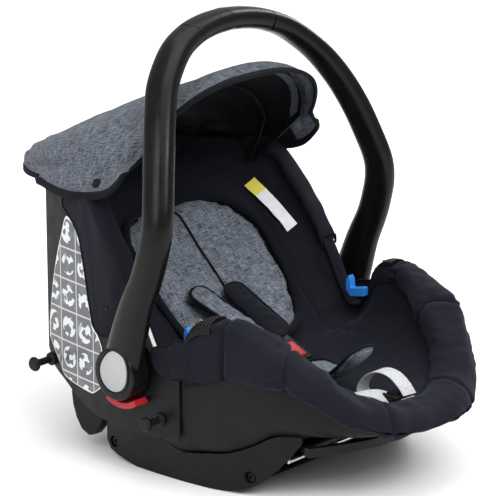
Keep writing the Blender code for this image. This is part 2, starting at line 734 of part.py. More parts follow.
def make_bow(name, root, arch, hinge_x, wide):
    """A bow from one hinge disc, over the arch, to the other."""
    hinge = hinge_empty(name + "_hinge", root)
    over = [arch_point(arch, a, CANOPY_THICKNESS + 0.006) for a in arch_angles(19)[1:-1]]
    first = Vector((hinge_x, CANOPY_Y, CANOPY_Z))
    last = Vector((-hinge_x, CANOPY_Y, CANOPY_Z))
    lead_in = [first, first.lerp(over[0], 0.5) + Vector((0.002, 0, 0))]
    lead_out = [last.lerp(over[-1], 0.5) - Vector((0.002, 0, 0)), last]
    path = lead_in + over + lead_out
    rings = bow_rings(path, wide, 0.0012)
    local = [[(x, y - CANOPY_Y, z - CANOPY_Z) for x, y, z in ring] for ring in rings]
    bow = new_object(name, loft(name, local), "trim_plastic", hinge)
    return bow


def make_bows(root):
    make_bow("canopy_front_bow", root, ARCHES[1], CANOPY_HINGE_X, 0.004)
    make_bow("canopy_middle_bow", root, MIDDLE_ARCH, CANOPY_HINGE_X - 0.0065, 0.004)
    for side in (-1, 1):
        name = side_name("canopy_hinge_pin", side)
        new_object(name, prism_x(name, disc_outline(CANOPY_Y, CANOPY_Z, 0.0060, 16),
                                 CANOPY_HINGE_X + 0.0028,
                                 plan_x(CANOPY_Y, COVER_IN) - 0.0055, side), "trim_plastic", root)


# ---------------------------------------------------------------- soft parts over the rim

def above_seat(x, y, z, offset):
    """The point, raised clear of the seat cover where it lies inside the bucket."""
    if offset < -COVER_IN:
        z = max(z, seat_height(x, y) + 0.006)
    return x, y, z


def wrap(name, side, ys, low, inner_drop, offset, thick, crown):
    """Cloth that hangs outside the bucket and laps over its rim."""
    rings = []
    for y in ys:
        nx, ny = plan_normal(y)
        x = plan_x(y)
        rim = curve_value(RIM, y) + 0.0008
        inside = -COVER_IN - 0.0020
        reach = offset + flare(y)
        section = [(reach, low(y)), (reach + thick, low(y)), (reach + thick, rim + crown * 0.4),
                   (reach - 0.002, rim + crown), (inside + 0.002, rim + crown), (inside - thick,
                                                                                 rim + crown * 0.4),
                   (inside - thick, rim - inner_drop), (inside, rim - inner_drop), (inside, rim), (reach, rim)]
        rings.append([above_seat(side * (x + nx * d), y + ny * d, z, d) for d, z in section])
    return loft(name, rings)


WING_LOW = ((0.022, 0.206), (0.038, 0.190), (0.060, 0.176), (0.078, 0.176), (0.092, 0.208),
            (0.110, 0.258), (0.132, 0.320))
ARM_LOW = ((-0.115, 0.152), (-0.080, 0.139), (-0.052, 0.130), (-0.034, 0.128))


def make_wing_covers(root):
    """Cloth flaps over the front edges of the side wings."""
    for side in (-1, 1):
        name = side_name("wing_cover", side)
        mesh = wrap(name, side, stations_between(0.022, 0.132, 12), lambda y: curve_value(WING_LOW, y),
                    0.008,
                    PANEL_OUT + GAP, 0.0012, 0.0070)
        new_object(name, mesh, "navy_fabric", root, 60)


def make_arm_covers(root):
    """Cloth flaps over the armrests, below the belt notch."""
    for side in (-1, 1):
        name = side_name("arm_cover", side)
        mesh = wrap(name, side, stations_between(-0.112, -0.060, 6), lambda y: curve_value(ARM_LOW, y),
                    0.012,
                    PANEL_OUT + GAP, 0.0030, 0.0080)
        new_object(name, mesh, "navy_fabric", root, 60)


BOLSTER_SPAN = math.radians(67)
BOLSTER_LOW = ((-0.310, 0.083), (-0.275, 0.088), (-0.250, 0.102), (-0.227, 0.122), (-0.195, 0.148),
               (-0.112, 0.152))


def make_bolster(root):
    """Padded roll around the foot end: a hooked section swept along the front of the rim."""
    rings = []
    count = 29
    for i in range(count):
        angle = -math.pi / 2 + BOLSTER_SPAN * (2 * i / (count - 1) - 1)
        px, py = plan_point(angle)
        ax, ay = plan_point(angle + 0.01)
        bx, by = plan_point(angle - 0.01)
        length = math.hypot(ax - bx, ay - by)
        nx, ny = (ay - by) / length, -(ax - bx) / length
        rim = curve_value(RIM, py) + 0.0008
        fade = min(1.0, (BOLSTER_SPAN - abs(angle + math.pi / 2)) / math.radians(14))
        reach = 0.0060 + (BOLSTER_REACH - 0.0060) * math.sqrt(fade)
        low = curve_value(BOLSTER_LOW, py)
        inside = -COVER_IN - 0.0015
        deep = BOLSTER_DEPTH
        section = [(GAP * 2, low), (reach * 0.75, low + 0.003), (reach, low + (rim - low) * 0.45),
                   (reach * 0.85, rim - 0.006), (reach * 0.30, rim + 0.008), (-0.012, rim + 0.015),
                   (inside - deep * 0.35, rim + 0.012), (inside - deep * 0.55, rim - 0.008),
                   (inside - 0.004, rim - 0.024), (inside, rim - 0.022), (inside, rim), (GAP * 2, rim)]
        rings.append([above_seat(px + nx * d, py + ny * d, z, d) for d, z in section])
    new_object("foot_bolster", loft("foot_bolster", rings), "navy_fabric", root, 60)


# ---------------------------------------------------------------- padding and harness

INSERT_LIFT = 0.0030
INSERT_THICK = 0.0180


def patch(name, ys, half_width, lift, thick, columns=9):
    """Pad lying on the seat: a grid between two heights above the cover, with thin edges."""
    rings = []
    for y in ys:
        half = half_width(y)
        top, bottom = [], []
        for k in range(columns):
            u = 2 * k / (columns - 1) - 1
            x = half * u
            z = seat_height(x, y) + lift
            bottom.append((x, y, z))
            top.append((x, y, z + thick * max(0.25, (1 - u ** 4))))
        rings.append(bottom + list(reversed(top)))
    return loft(name, rings)


def insert_half(y):
    low, high = -0.030, 0.150
    u = (2 * y - low - high) / (high - low)
    return 0.125 * max(0.05, 1 - abs(u) ** 3.2) ** (1 / 3.2)


def make_insert(root):
    ys = [-0.028, -0.022, -0.010, 0.010, 0.040, 0.070, 0.100, 0.124, 0.140, 0.148]
    new_object("body_insert", patch("body_insert", ys, insert_half, INSERT_LIFT, INSERT_THICK),
               "grey_fabric", root, 60)


def insert_top(x, y):
    half = insert_half(y)
    if -0.028 < y < 0.148 and abs(x) < half:
        return seat_height(x, y) + INSERT_LIFT + INSERT_THICK * max(0.25, 1 - (x / half) ** 4)
    return seat_height(x, y)


def surface_high(x, y, spread):
    """Highest point of the seat or insert near (x, y)."""
    spots = [(x + a, y + b) for a in (-spread, 0, spread) for b in (-spread, 0, spread)]
    return max(insert_top(*spot) for spot in spots)


def strip(name, path, wide, thick, finish, root):
    """Flat strap or pad along a path of points, each with its width direction along X unless it is given."""
    pts = [Vector(p) for p in path]
    rings = []
    for i, p in enumerate(pts):
        along = (pts[min(i + 1, len(pts) - 1)] - pts[max(i - 1, 0)]).normalized()
        flat = Vector((1, 0, 0)) - along * along.x
        flat.normalize()
        up = flat.cross(along)
        if up.z < 0:
            up = -up
        rings.append([tuple(p + flat * wide / 2 * u + up * thick / 2 * v)
                      for u, v in ((-1, -0.6), (0, -1), (1, -0.6), (1, 0.6), (0, 1), (-1, 0.6))])
    return new_object(name, loft(name, rings), finish, root, 50)


STRAP_THICK = 0.0020
STRAP_WIDE = 0.030
PAD_THICK = 0.011
PAD_WIDE = 0.038
# Each shoulder pad's middle line: (x, y) at its top, and (x, y, z) at its end above the buckle.
PAD_ENDS = {-1: ((-0.060, 0.048), (-0.030, -0.046, 0.1570)), 1: ((0.004, 0.050), (0.016, -0.034, 0.1500))}
STRAP_TOPS = {-1: (-0.058, 0.086), 1: (0.006, 0.088)}
STRAP_BELOW_PAD = 0.0105
STRAP_SPREAD, STRAP_LIFT = 0.010, 0.0030


def lying_path(start, end, count, spread, lift):
    """Points from start in plan to end in space, straight but never below lift above the seat or the insert."""
    first = surface_high(*start, spread) + lift
    pts = []
    for i in range(count):
        t = i / (count - 1)
        x = start[0] + (end[0] - start[0]) * t
        y = start[1] + (end[1] - start[1]) * t
        z = first + (end[2] - first) * t
        pts.append((x, y, max(z, surface_high(x, y, spread) + lift)))
    return pts


BUCKLE_Y, BUCKLE_Z = -0.062, 0.128
# Side view of the crotch pad, from the buckle's foot to the free tip, as (y, z).
CROTCH_PAD_LINE = ((-0.098, 0.1220), (-0.112, 0.1180), (-0.128, 0.1155), (-0.145, 0.1190),
                   (-0.164, 0.1340), (-0.186, 0.1590))
BUCKLE_TILT = math.radians(25)


def tilted(points, y, z, tilt):
    """Points of the YZ plane turned by tilt about X and moved to (y, z)."""
    c, s = math.cos(tilt), math.sin(tilt)
    return [(y + c * a - s * b, z + s * a + c * b) for a, b in points]


def box_tilted(name, half_x, span_y, span_z, y, z, tilt):
    corners = [(span_y[0], span_z[0]), (span_y[1], span_z[0]), (span_y[1], span_z[1]), (span_y[0],
                                                                                        span_z[1])]
    outline = tilted(corners, y, z, tilt)
    return loft(name, [[(x, py, pz) for py, pz in outline] for x in (-half_x, half_x)])


def make_harness(root):
    """Shoulder pads and straps, buckle with its button and tongues, crotch strap and pad."""
    for side in (-1, 1):
        top, end = PAD_ENDS[side]
        pad = lying_path(top, end, 7, 0.012, 0.0045 + PAD_THICK * 0.75)
        strip(side_name("shoulder_pad", side), pad, PAD_WIDE, PAD_THICK, "grey_fabric", root)
        x, y = STRAP_TOPS[side]
        strap = [(x, y, surface_high(x, y, STRAP_SPREAD) + STRAP_LIFT)]
        strap += [(px, py, pz - STRAP_BELOW_PAD) for px, py, pz in pad[:-1]]
        strip(side_name("shoulder_strap", side), strap, STRAP_WIDE, STRAP_THICK, "webbing", root)
        tongue = box_tilted("tongue", 0.012, (0.0135, 0.027), (0.0, 0.0025), BUCKLE_Y, BUCKLE_Z,
                            BUCKLE_TILT)
        tongue.transform(Matrix.Translation((side * 0.0135, 0, 0)))
        new_object(side_name("buckle_tongue", side), tongue, "steel", root)
    body = new_object("buckle_body", box_tilted("buckle_body", 0.019, (-0.024, 0.013), (-0.009, 0.009),
                                                BUCKLE_Y,
                                                BUCKLE_Z, BUCKLE_TILT), "trim_plastic", root)
    pocket = box_tilted("button_pocket", 0.0125, (-0.019, 0.009), (0.002, 0.03), BUCKLE_Y, BUCKLE_Z,
                        BUCKLE_TILT)
    add_cutter(body, pocket)
    new_object("buckle_button", box_tilted("buckle_button", 0.0122, (-0.0187, 0.0087), (0.0055, 0.0110),
                                           BUCKLE_Y,
                                           BUCKLE_Z, BUCKLE_TILT), "red_plastic", root)
    strip("crotch_pad", [(0, y, z) for y, z in CROTCH_PAD_LINE], 0.050, 0.010, "grey_fabric", root)


ADJUSTER_Y = -0.2350
# Side view of the pull strap's loop, from the seat up and over to the adjuster, as (y, z).
PULL_STRAP_LINE = ((-0.180, 0.1040), (-0.185, 0.1160), (-0.197, 0.1290), (-0.213, 0.1360), (-0.228, 0.1350),
                   (-0.240, 0.1280), (-0.248, 0.1190))


def make_adjuster(root):
    """Strap adjuster at the foot end, its press button, and the pull strap that comes out of it."""
    y = ADJUSTER_Y
    z = max(seat_height(0.022, y - 0.012), seat_height(0.022, y + 0.012)) + 0.0015
    housing = new_object("adjuster_housing", box_tilted("adjuster_housing", 0.0175, (-0.013, 0.013),
                                                        (0.0, 0.0110), y, z, 0),
                         "trim_plastic", root)
    add_cutter(housing, box_tilted("pocket", 0.0110, (-0.008, 0.008), (0.0060, 0.03), y, z, 0))
    new_object("adjuster_button", box_tilted("adjuster_button", 0.0107, (-0.0077, 0.0077), (0.0085,
                                                                                            0.0125), y, z, 0),
               "trim_plastic", root)
    strip("pull_strap", [(0, py, pz) for py, pz in PULL_STRAP_LINE], 0.024, 0.0018, "white_webbing", root)


def make_splitter(root):
    """Steel plate behind the backrest that joins the shoulder straps to the adjuster strap."""
    outline = [(-0.028, 0.0), (0.028, 0.0), (0.028, 0.016), (0.008, 0.022), (-0.008, 0.022), (-0.028,
                                                                                              0.016)]
    y, z = 0.062, 0.100
    rings = []
    for d in (0.0, 0.002):
        rings.append([(px, y + pz * 0.707 + d * 0.707, z + pz * 0.707 - d * 0.707) for px, pz in outline])
    new_object("splitter_plate", loft("splitter_plate", rings), "steel", root)


def make_belt_guides(root):
    """Hook for the vehicle belt and the ribbed slot plate beside it, on each armrest."""
    for side in (-1, 1):
        x = plan_x(-0.045) - COVER_IN - 0.007
        hook = [(-0.062, 0.168), (-0.040, 0.164), (-0.032, 0.172), (-0.032, 0.186), (-0.037, 0.192),
                (-0.040, 0.186), (-0.041, 0.176), (-0.062, 0.180)]
        name = side_name("belt_guide", side)
        new_object(name, prism_x(name, hook, x - 0.012, x - 0.002, side), "blue_plastic", root)


def main():
    clear_scene()
    root = bpy.data.objects.new("seat_root", None)
    bpy.context.scene.collection.objects.link(root)
    root.location = (0, ROOT_Y, 0)
    make_shell(root)
    make_foam(root)
    make_cover(root)
    make_panels(root)
    make_rockers(root)
    make_screws(root)
    make_base_pan(root)
    make_rods(root)
    make_front_lip(root)
    make_rear_feet(root)
    make_adapter_pins(root)
    make_handle(root)
    make_hubs(root)
    make_canopy(root)
    make_bows(root)
    make_wing_covers(root)
    make_arm_covers(root)
    make_bolster(root)
    make_insert(root)
    make_harness(root)
    make_adjuster(root)
    make_splitter(root)
    make_belt_guides(root)


main()
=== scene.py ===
"""Looks of the infant car seat: cloth, padding, plastics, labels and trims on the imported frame."""
import math

import bmesh
import bpy
import numpy as np
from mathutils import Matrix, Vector
from mathutils.bvhtree import BVHTree


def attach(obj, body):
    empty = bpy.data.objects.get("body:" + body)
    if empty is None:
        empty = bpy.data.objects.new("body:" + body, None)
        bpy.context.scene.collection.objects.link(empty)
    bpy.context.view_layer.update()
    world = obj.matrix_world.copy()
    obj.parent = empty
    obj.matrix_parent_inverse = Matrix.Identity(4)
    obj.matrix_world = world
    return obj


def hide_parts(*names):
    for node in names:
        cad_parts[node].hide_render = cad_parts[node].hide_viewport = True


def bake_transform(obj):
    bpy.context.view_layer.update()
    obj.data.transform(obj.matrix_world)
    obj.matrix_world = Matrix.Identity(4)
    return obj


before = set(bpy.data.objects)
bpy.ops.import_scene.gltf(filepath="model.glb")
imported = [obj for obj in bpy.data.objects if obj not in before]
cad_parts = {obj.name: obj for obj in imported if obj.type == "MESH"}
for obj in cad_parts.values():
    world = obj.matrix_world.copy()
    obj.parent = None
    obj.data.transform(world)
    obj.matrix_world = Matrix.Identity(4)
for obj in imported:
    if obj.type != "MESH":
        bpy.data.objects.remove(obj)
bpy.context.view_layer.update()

TAU = math.tau
TINY = 1e-12  # least length that a vector is divided by
SMOOTH_ANGLE = 60  # degrees between faces up to which an edge is shaded smooth
FIELD_WAVES = 7
GAP = 0.0003  # clearance between touching pieces
ROOT_Y = -0.00825  # the seat's own Y coordinates are moved by this much into the row frame

# ------------------------------------------------------------ the bucket's plan and height curves

HALF_WIDTH = 0.184
CENTRE_Y = 0.020
FRONT_LENGTH = 0.298
HEAD_LENGTH = 0.285
FRONT_POWER = 2.35
HEAD_POWER = 2.0
COVER_OUT = 0.0118
COVER_IN = 0.0170
PANEL_OUT = 0.0042
RIM_LIFT = 0.0008  # height of the rim covers' inside over the rim curve
FLARE_START, FLARE_END, FLARE_DEPTH = 0.080, 0.192, 0.010
PIVOT_Y, PIVOT_Z = 0.020, 0.137
CANOPY_Y, CANOPY_Z = 0.125, 0.322

RIM = ((-0.278, 0.1020), (-0.262, 0.110), (-0.244, 0.127), (-0.226, 0.146), (-0.205, 0.163),
       (-0.185, 0.179), (-0.160, 0.194), (-0.130, 0.205), (-0.110, 0.208), (-0.090, 0.206),
       (-0.072, 0.196), (-0.055, 0.168), (-0.040, 0.148), (-0.025, 0.145), (-0.010, 0.162),
       (0.014, 0.206), (0.045, 0.258), (0.080, 0.300), (0.105, 0.328), (0.130, 0.338),
       (0.200, 0.340), (0.310, 0.332))
SEAT = ((-0.278, 0.0990), (-0.240, 0.0965), (-0.180, 0.0955), (-0.110, 0.096), (-0.050, 0.104),
        (0.000, 0.132), (0.050, 0.176), (0.100, 0.224), (0.150, 0.270), (0.200, 0.298),
        (0.310, 0.318))
SHELL_FLOOR = ((-0.278, 0.0780), (-0.230, 0.0750), (-0.166, 0.068), (-0.134, 0.046),
               (-0.094, 0.028), (-0.053, 0.024), (0.000, 0.032), (0.044, 0.040), (0.095, 0.046),
               (0.150, 0.062), (0.220, 0.120), (0.310, 0.215))


def curve_value(stations, y):
    """Height at y on a monotone cubic curve through the stations."""
    ys = [p[0] for p in stations]
    zs = [p[1] for p in stations]
    if y <= ys[0]:
        return zs[0]
    if y >= ys[-1]:
        return zs[-1]
    i = max(k for k in range(len(ys) - 1) if ys[k] <= y)
    slopes = [(zs[k + 1] - zs[k]) / (ys[k + 1] - ys[k]) for k in range(len(ys) - 1)]

    def tangent(k):
        if k == 0 or k == len(ys) - 1:
            return slopes[min(k, len(slopes) - 1)]
        if slopes[k - 1] * slopes[k] <= 0:
            return 0.0
        return 2 * slopes[k - 1] * slopes[k] / (slopes[k - 1] + slopes[k])

    h = ys[i + 1] - ys[i]
    t = (y - ys[i]) / h
    a, b = tangent(i) * h, tangent(i + 1) * h
    return ((2 * t ** 3 - 3 * t ** 2 + 1) * zs[i] + (t ** 3 - 2 * t ** 2 + t) * a
            + (-2 * t ** 3 + 3 * t ** 2) * zs[i + 1] + (t ** 3 - t ** 2) * b)


def plan_point(angle, inset=0.0):
    """Point of the bucket's plan outline at an angle, moved inwards by inset."""
    c, s = math.cos(angle), math.sin(angle)
    power = FRONT_POWER if s < 0 else HEAD_POWER
    length = (FRONT_LENGTH if s < 0 else HEAD_LENGTH) - inset
    x = (HALF_WIDTH - inset) * math.copysign(abs(c) ** (2 / power), c)
    return x, CENTRE_Y + length * math.copysign(abs(s) ** (2 / power), s)


def plan_x(y):
    """Half width of the plan outline at y."""
    power = FRONT_POWER if y < CENTRE_Y else HEAD_POWER
    length = FRONT_LENGTH if y < CENTRE_Y else HEAD_LENGTH
    u = min(1.0, abs(y - CENTRE_Y) / length)
    return HALF_WIDTH * (1 - u ** power) ** (1 / power)


def plan_normal(y):
    """Outward normal of the plan outline at y, on the +X side."""
    step = 0.001
    slope = (plan_x(y + step) - plan_x(y - step)) / (2 * step)
    length = math.hypot(1.0, slope)
    return 1.0 / length, -slope / length


def flare(y):
    """How far the side panels stand out beside the wings."""
    return FLARE_DEPTH * max(0.0, (y - FLARE_START) / (FLARE_END - FLARE_START)) ** 2


def panel_x(y):
    """X of the side panel's outer face at y."""
    reach = PANEL_OUT + flare(y)
    return plan_x(y) + reach / plan_normal(y)[0]


def smooth01(t):
    """Smooth step from 0 at t = 0 to 1 at t = 1."""
    t = np.clip(t, 0.0, 1.0)
    return t * t * (3 - 2 * t)


def gather(value, centre, width):
    """A bell curve of height 1 round the centre."""
    return np.exp(-((value - centre) / width) ** 2)


# ---------------------------------------------------------------- lofted meshes


def catmull(points, per_span, closed):
    """Smooth curve through the points, per_span steps between neighbours."""
    pts = np.array(points, float)
    n = len(pts)
    if closed:
        ring = np.vstack([pts[-1:], pts, pts[:2]])
        spans = n
    else:
        ring = np.vstack([2 * pts[:1] - pts[1:2], pts, 2 * pts[-1:] - pts[-2:-1]])
        spans = n - 1
    out = []
    for i in range(spans):
        a, b, c, d = ring[i:i + 4]
        for k in range(per_span):
            t = k / per_span
            out.append(0.5 * (2 * b + (c - a) * t + (2 * a - 5 * b + 4 * c - d) * t * t
                              + (3 * b - a - 3 * c + d) * t ** 3))
    if not closed:
        out.append(pts[-1])
    return np.array(out)


def unit(vectors):
    """The vectors at length 1."""
    return vectors / np.maximum(np.linalg.norm(vectors, axis=-1, keepdims=True), TINY)


def facing(normals, outward):
    """The same normals, all turned over if they mostly point against outward."""
    return -normals if (normals * outward).sum() < 0 else normals


def run_along(points):
    """Distance of each point along its line."""
    steps = np.linalg.norm(np.diff(points, axis=0), axis=1)
    return np.concatenate([[0], np.cumsum(steps)])


def averaged(values, reach, mode="edge"):
    """Running mean of the values, over reach neighbours on each side."""
    width = 2 * reach + 1
    return np.convolve(np.pad(values, reach, mode=mode), np.ones(width) / width, mode="valid")


def squared_ring(angles, power_u, power_v):
    """Points of a circle with its sides flattened, as two lists of values from -1 to 1."""
    c, s = np.cos(angles), np.sin(angles)
    return np.sign(c) * np.abs(c) ** power_u, np.sign(s) * np.abs(s) ** power_v


def swept(line, across, above, u, v):
    """Grid with a section at each point of a line: u is measured across it and v above it."""
    u, v = np.atleast_2d(u)[..., None], np.atleast_2d(v)[..., None]
    return line[:, None] + across[:, None] * u + above[:, None] * v


def side_word(side):
    """Ending of a side's names: the near side, at -X, is the left."""
    return "_right" if side > 0 else "_left"


def resample(points, count, closed=False):
    """The same line with points at even distances."""
    pts = np.array(points, float)
    if closed:
        pts = np.vstack([pts, pts[:1]])
    at = run_along(pts)
    want = np.linspace(0, at[-1], count + closed)[:count]
    return np.stack([np.interp(want, at, column) for column in pts.T], axis=1)


def grid_normals(grid, closed):
    """Unit normals of a grid of points (rows, columns, 3)."""
    dv = np.gradient(grid, axis=1)
    if closed:
        dv = (np.roll(grid, -1, axis=1) - np.roll(grid, 1, axis=1)) / 2
    return unit(np.cross(np.gradient(grid, axis=0), dv))


def field(points, seed, length, squeeze=(1, 1, 1)):
    """Smooth values, mostly from -1 to 1, with features of about this length."""
    rng = np.random.default_rng(seed)
    p = points * np.array(squeeze, float)
    warp = np.zeros_like(p)
    for axis in range(3):
        k = rng.normal(size=3)
        k *= TAU / (length * 2.3) / np.linalg.norm(k)
        warp[..., axis] = np.sin(p @ k + rng.uniform(0, TAU)) * length * 0.35
    p = p + warp
    out = np.zeros(points.shape[:-1])
    for _ in range(FIELD_WAVES):
        k = rng.normal(size=3)
        k *= TAU / length / np.linalg.norm(k) * rng.uniform(0.6, 1.5)
        out += np.sin(p @ k + rng.uniform(0, TAU))
    return out / math.sqrt(FIELD_WAVES)


def link(name, data):
    """New object in the scene."""
    obj = bpy.data.objects.new(name, data)
    bpy.context.scene.collection.objects.link(obj)
    return obj


def read_points(mesh, what="co"):
    """The mesh's points, or their normals, in the row frame."""
    values = np.zeros(len(mesh.vertices) * 3, np.float32)
    mesh.vertices.foreach_get(what, values)
    return values.reshape(-1, 3).astype(float)


def write_uv(mesh, name, pairs):
    """Texture coordinates with one pair of values for each point."""
    layer = mesh.uv_layers.get(name) or mesh.uv_layers.new(name=name)
    index = np.zeros(len(mesh.loops), np.int32)
    mesh.loops.foreach_get("vertex_index", index)
    layer.data.foreach_set("uv", np.array(pairs, float)[index].astype(np.float32).ravel())


def run_uv(grid):
    """Distances along the mean column and the mean row of a grid, for each of its points."""
    du = np.linalg.norm(np.diff(grid, axis=0), axis=2).mean(axis=1)
    dv = np.linalg.norm(np.diff(grid, axis=1), axis=2).mean(axis=0)
    u, v = (np.concatenate([[0], np.cumsum(steps)]) for steps in (du, dv))
    return np.stack(np.meshgrid(u, v, indexing="ij"), axis=2)


def finish_mesh(name, verts, faces, uvs, angle=SMOOTH_ANGLE):
    """Object from points in the seat's own coordinates, with one pair of metres for each in uvs."""
    mesh = bpy.data.meshes.new(name)
    pts = np.array(verts, float).reshape(-1, 3)
    pts[:, 1] += ROOT_Y
    mesh.from_pydata(pts.tolist(), [], faces)
    write_uv(mesh, "weave", np.reshape(uvs, (-1, 2)))
    bm = bmesh.new()
    bm.from_mesh(mesh)
    bmesh.ops.recalc_face_normals(bm, faces=bm.faces)
    bm.to_mesh(mesh)
    bm.free()
    mesh.shade_smooth()
    mesh.set_sharp_from_angle(angle=math.radians(angle))
    return link(name, mesh)


def grid_object(name, grid, ring=False, poles=False, angle=SMOOTH_ANGLE):
    """Closed object from a grid of points, whose rows are rings.

    The first and last rows are capped, unless ring joins them. With poles, the rows are open arcs
    that go all the way round, and the first and last columns are capped.
    """
    rows, cols = grid.shape[:2]
    faces = []
    for i in range(rows if ring or poles else rows - 1):
        a, b = i * cols, (i + 1) % rows * cols
        for j in range(cols - 1 if poles else cols):
            k = (j + 1) % cols
            faces.append((a + j, a + k, b + k, b + j))
    if poles:
        faces.append(tuple(i * cols for i in range(rows)))
        faces.append(tuple(i * cols + cols - 1 for i in range(rows))[::-1])
    elif not ring:
        faces.append(tuple(range(cols))[::-1])
        faces.append(tuple((rows - 1) * cols + j for j in range(cols)))
    return finish_mesh(name, grid, faces, run_uv(grid), angle)


def two_sided(name, front, back, uv):
    """Closed sheet between two grids. Its faces go front, back, front, back, and then the rim."""
    rows, cols = front.shape[:2]
    total = rows * cols
    faces = []
    for i in range(rows - 1):
        for j in range(cols - 1):
            a = i * cols + j
            faces.append((a, a + 1, a + cols + 1, a + cols))
            faces.append((total + a, total + a + cols, total + a + cols + 1, total + a + 1))
    rim = ([(i * cols, (i + 1) * cols) for i in range(rows - 1)]
           + [((i + 1) * cols + cols - 1, i * cols + cols - 1) for i in range(rows - 1)]
           + [(j + 1, j) for j in range(cols - 1)]
           + [((rows - 1) * cols + j, (rows - 1) * cols + j + 1) for j in range(cols - 1)])
    faces += [(a, b, total + b, total + a) for a, b in rim]
    points = np.vstack([front.reshape(-1, 3), back.reshape(-1, 3)])
    uv = np.reshape(uv, (-1, 2))
    return finish_mesh(name, points, faces, np.vstack([uv, uv]))


def tube(name, path, radius, around=8, closed=False, flatten=1.0, up=(0, 0, 1)):
    """Round or flattened cord along a path."""
    pts = np.array(path, float)
    along = np.gradient(pts, axis=0)
    if closed:
        along = np.roll(pts, -1, axis=0) - np.roll(pts, 1, axis=0)
    along = unit(along)
    side = unit(np.cross(along, np.array(up, float)))
    a = np.arange(around) * TAU / around
    grid = swept(pts, side, np.cross(side, along), np.cos(a) * radius, np.sin(a) * radius * flatten)
    return grid_object(name, grid, ring=closed)


def dress(obj, finish, body="seat", nodes=()):
    """Material, body and the CAD nodes that the piece stands for."""
    obj.data.materials.clear()
    obj.data.materials.append(finish)
    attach(obj, body)
    if nodes:
        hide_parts(*nodes)
    return obj


def bind(name, line, radius, around=8, **options):
    """Dark cloth binding or piping along a line."""
    dress(tube(name, line, radius, around, **options), NAVY_DEEP)


# ---------------------------------------------------------------- materials


def start_material(name, colour, roughness, **values):
    """Material whose shader has these constants. An underscore in a name stands for a space."""
    made = bpy.data.materials.new(name)
    made.use_nodes = True
    shader = made.node_tree.nodes["Principled BSDF"]
    shader.inputs["Base Color"].default_value = (*colour, 1)
    shader.inputs["Roughness"].default_value = roughness
    for key, value in values.items():
        shader.inputs[key.replace("_", " ")].default_value = value
    return made, made.node_tree, shader


def add(tree, kind, settings=None, **inputs):
    """New node. Inputs are named, or numbered as i0, i1, and take a value or a socket."""
    made = tree.nodes.new(kind)
    for key, value in (settings or {}).items():
        setattr(made, key, value)
    for key, value in inputs.items():
        numbered = key[0] == "i" and key[1:].isdigit()
        socket = made.inputs[int(key[1:]) if numbered else key.replace("_", " ")]
        if isinstance(value, bpy.types.NodeSocket):
            tree.links.new(value, socket)
        else:
            socket.default_value = value
    return made


def math_node(tree, operation, a, b=0.0):
    """Result of one sum on sockets or numbers."""
    return add(tree, "ShaderNodeMath", {"operation": operation}, i0=a, i1=b).outputs[0]


def times(tree, a, b):
    """Product of two sockets or numbers."""
    return math_node(tree, "MULTIPLY", a, b)


def plus(tree, a, b):
    """Sum of two sockets or numbers."""
    return math_node(tree, "ADD", a, b)


def coordinates(tree, kind, scale=(1, 1, 1), turn=(0, 0, 0)):
    """Texture coordinates, scaled and turned."""
    source = add(tree, "ShaderNodeTexCoord").outputs[kind]
    mapping = add(tree, "ShaderNodeMapping", None, Vector=source, Scale=scale, Rotation=turn)
    return mapping.outputs[0]


def noise_at(tree, vector, scale, detail=2.0, rough=0.5):
    """Values of a noise texture."""
    values = {"Vector": vector, "Scale": scale, "Detail": detail, "Roughness": rough}
    return add(tree, "ShaderNodeTexNoise", None, **values).outputs[0]


def ramp(tree, value, low, high, to_low=0.0, to_high=1.0):
    """The value's share of the way from low to high, between to_low and to_high."""
    ends = {"From_Min": low, "From_Max": high, "To_Min": to_low, "To_Max": to_high}
    return add(tree, "ShaderNodeMapRange", {"clamp": True}, Value=value, **ends).outputs[0]


def mix_colour(tree, share, a, b):
    """Mix of two colours, each a socket or a triple."""
    made = add(tree, "ShaderNodeMix", {"data_type": "RGBA"}, i0=share)
    for socket, value in ((6, a), (7, b)):
        if isinstance(value, bpy.types.NodeSocket):
            tree.links.new(value, made.inputs[socket])
        else:
            made.inputs[socket].default_value = (*value, 1)
    return made.outputs[2]


def tint(tree, shader, share, a, b):
    """Colours the shader with a mix of two colours."""
    tree.links.new(mix_colour(tree, share, a, b), shader.inputs["Base Color"])


def bump(tree, shader, height, distance, strength=1.0):
    """Relief on the shader from a height."""
    made = add(tree, "ShaderNodeBump", None, Height=height, Distance=distance, Strength=strength)
    tree.links.new(made.outputs[0], shader.inputs["Normal"])


def weave_height(tree, vector, thread):
    """Plain weave: two sets of threads that cross."""
    parts = add(tree, "ShaderNodeSeparateXYZ", None, Vector=vector)
    waves = [math_node(tree, "ABSOLUTE", math_node(
        tree, "SINE", times(tree, parts.outputs[axis], math.pi / thread))) for axis in (0, 1)]
    return times(tree, *waves)


def woven(name, dark, light, sheen, thread=0.0011, rough=0.85):
    """Dense plain-weave cloth with a slight change of tone from place to place."""
    made, tree, shader = start_material(name, dark, rough, Sheen_Weight=sheen, Sheen_Roughness=0.45,
                                        Sheen_Tint=(0.55, 0.60, 0.80, 1), Specular_IOR_Level=0.15)
    vector = coordinates(tree, "UV")
    tone = noise_at(tree, vector, 9.0, 3.0)
    fine = noise_at(tree, vector, 420.0)
    share = plus(tree, times(tree, tone, 0.6), times(tree, fine, 0.4))
    tint(tree, shader, ramp(tree, share, 0.35, 0.68), dark, light)
    height = plus(tree, weave_height(tree, vector, thread), times(tree, fine, 0.5))
    bump(tree, shader, height, 0.0003, 0.55)
    return made


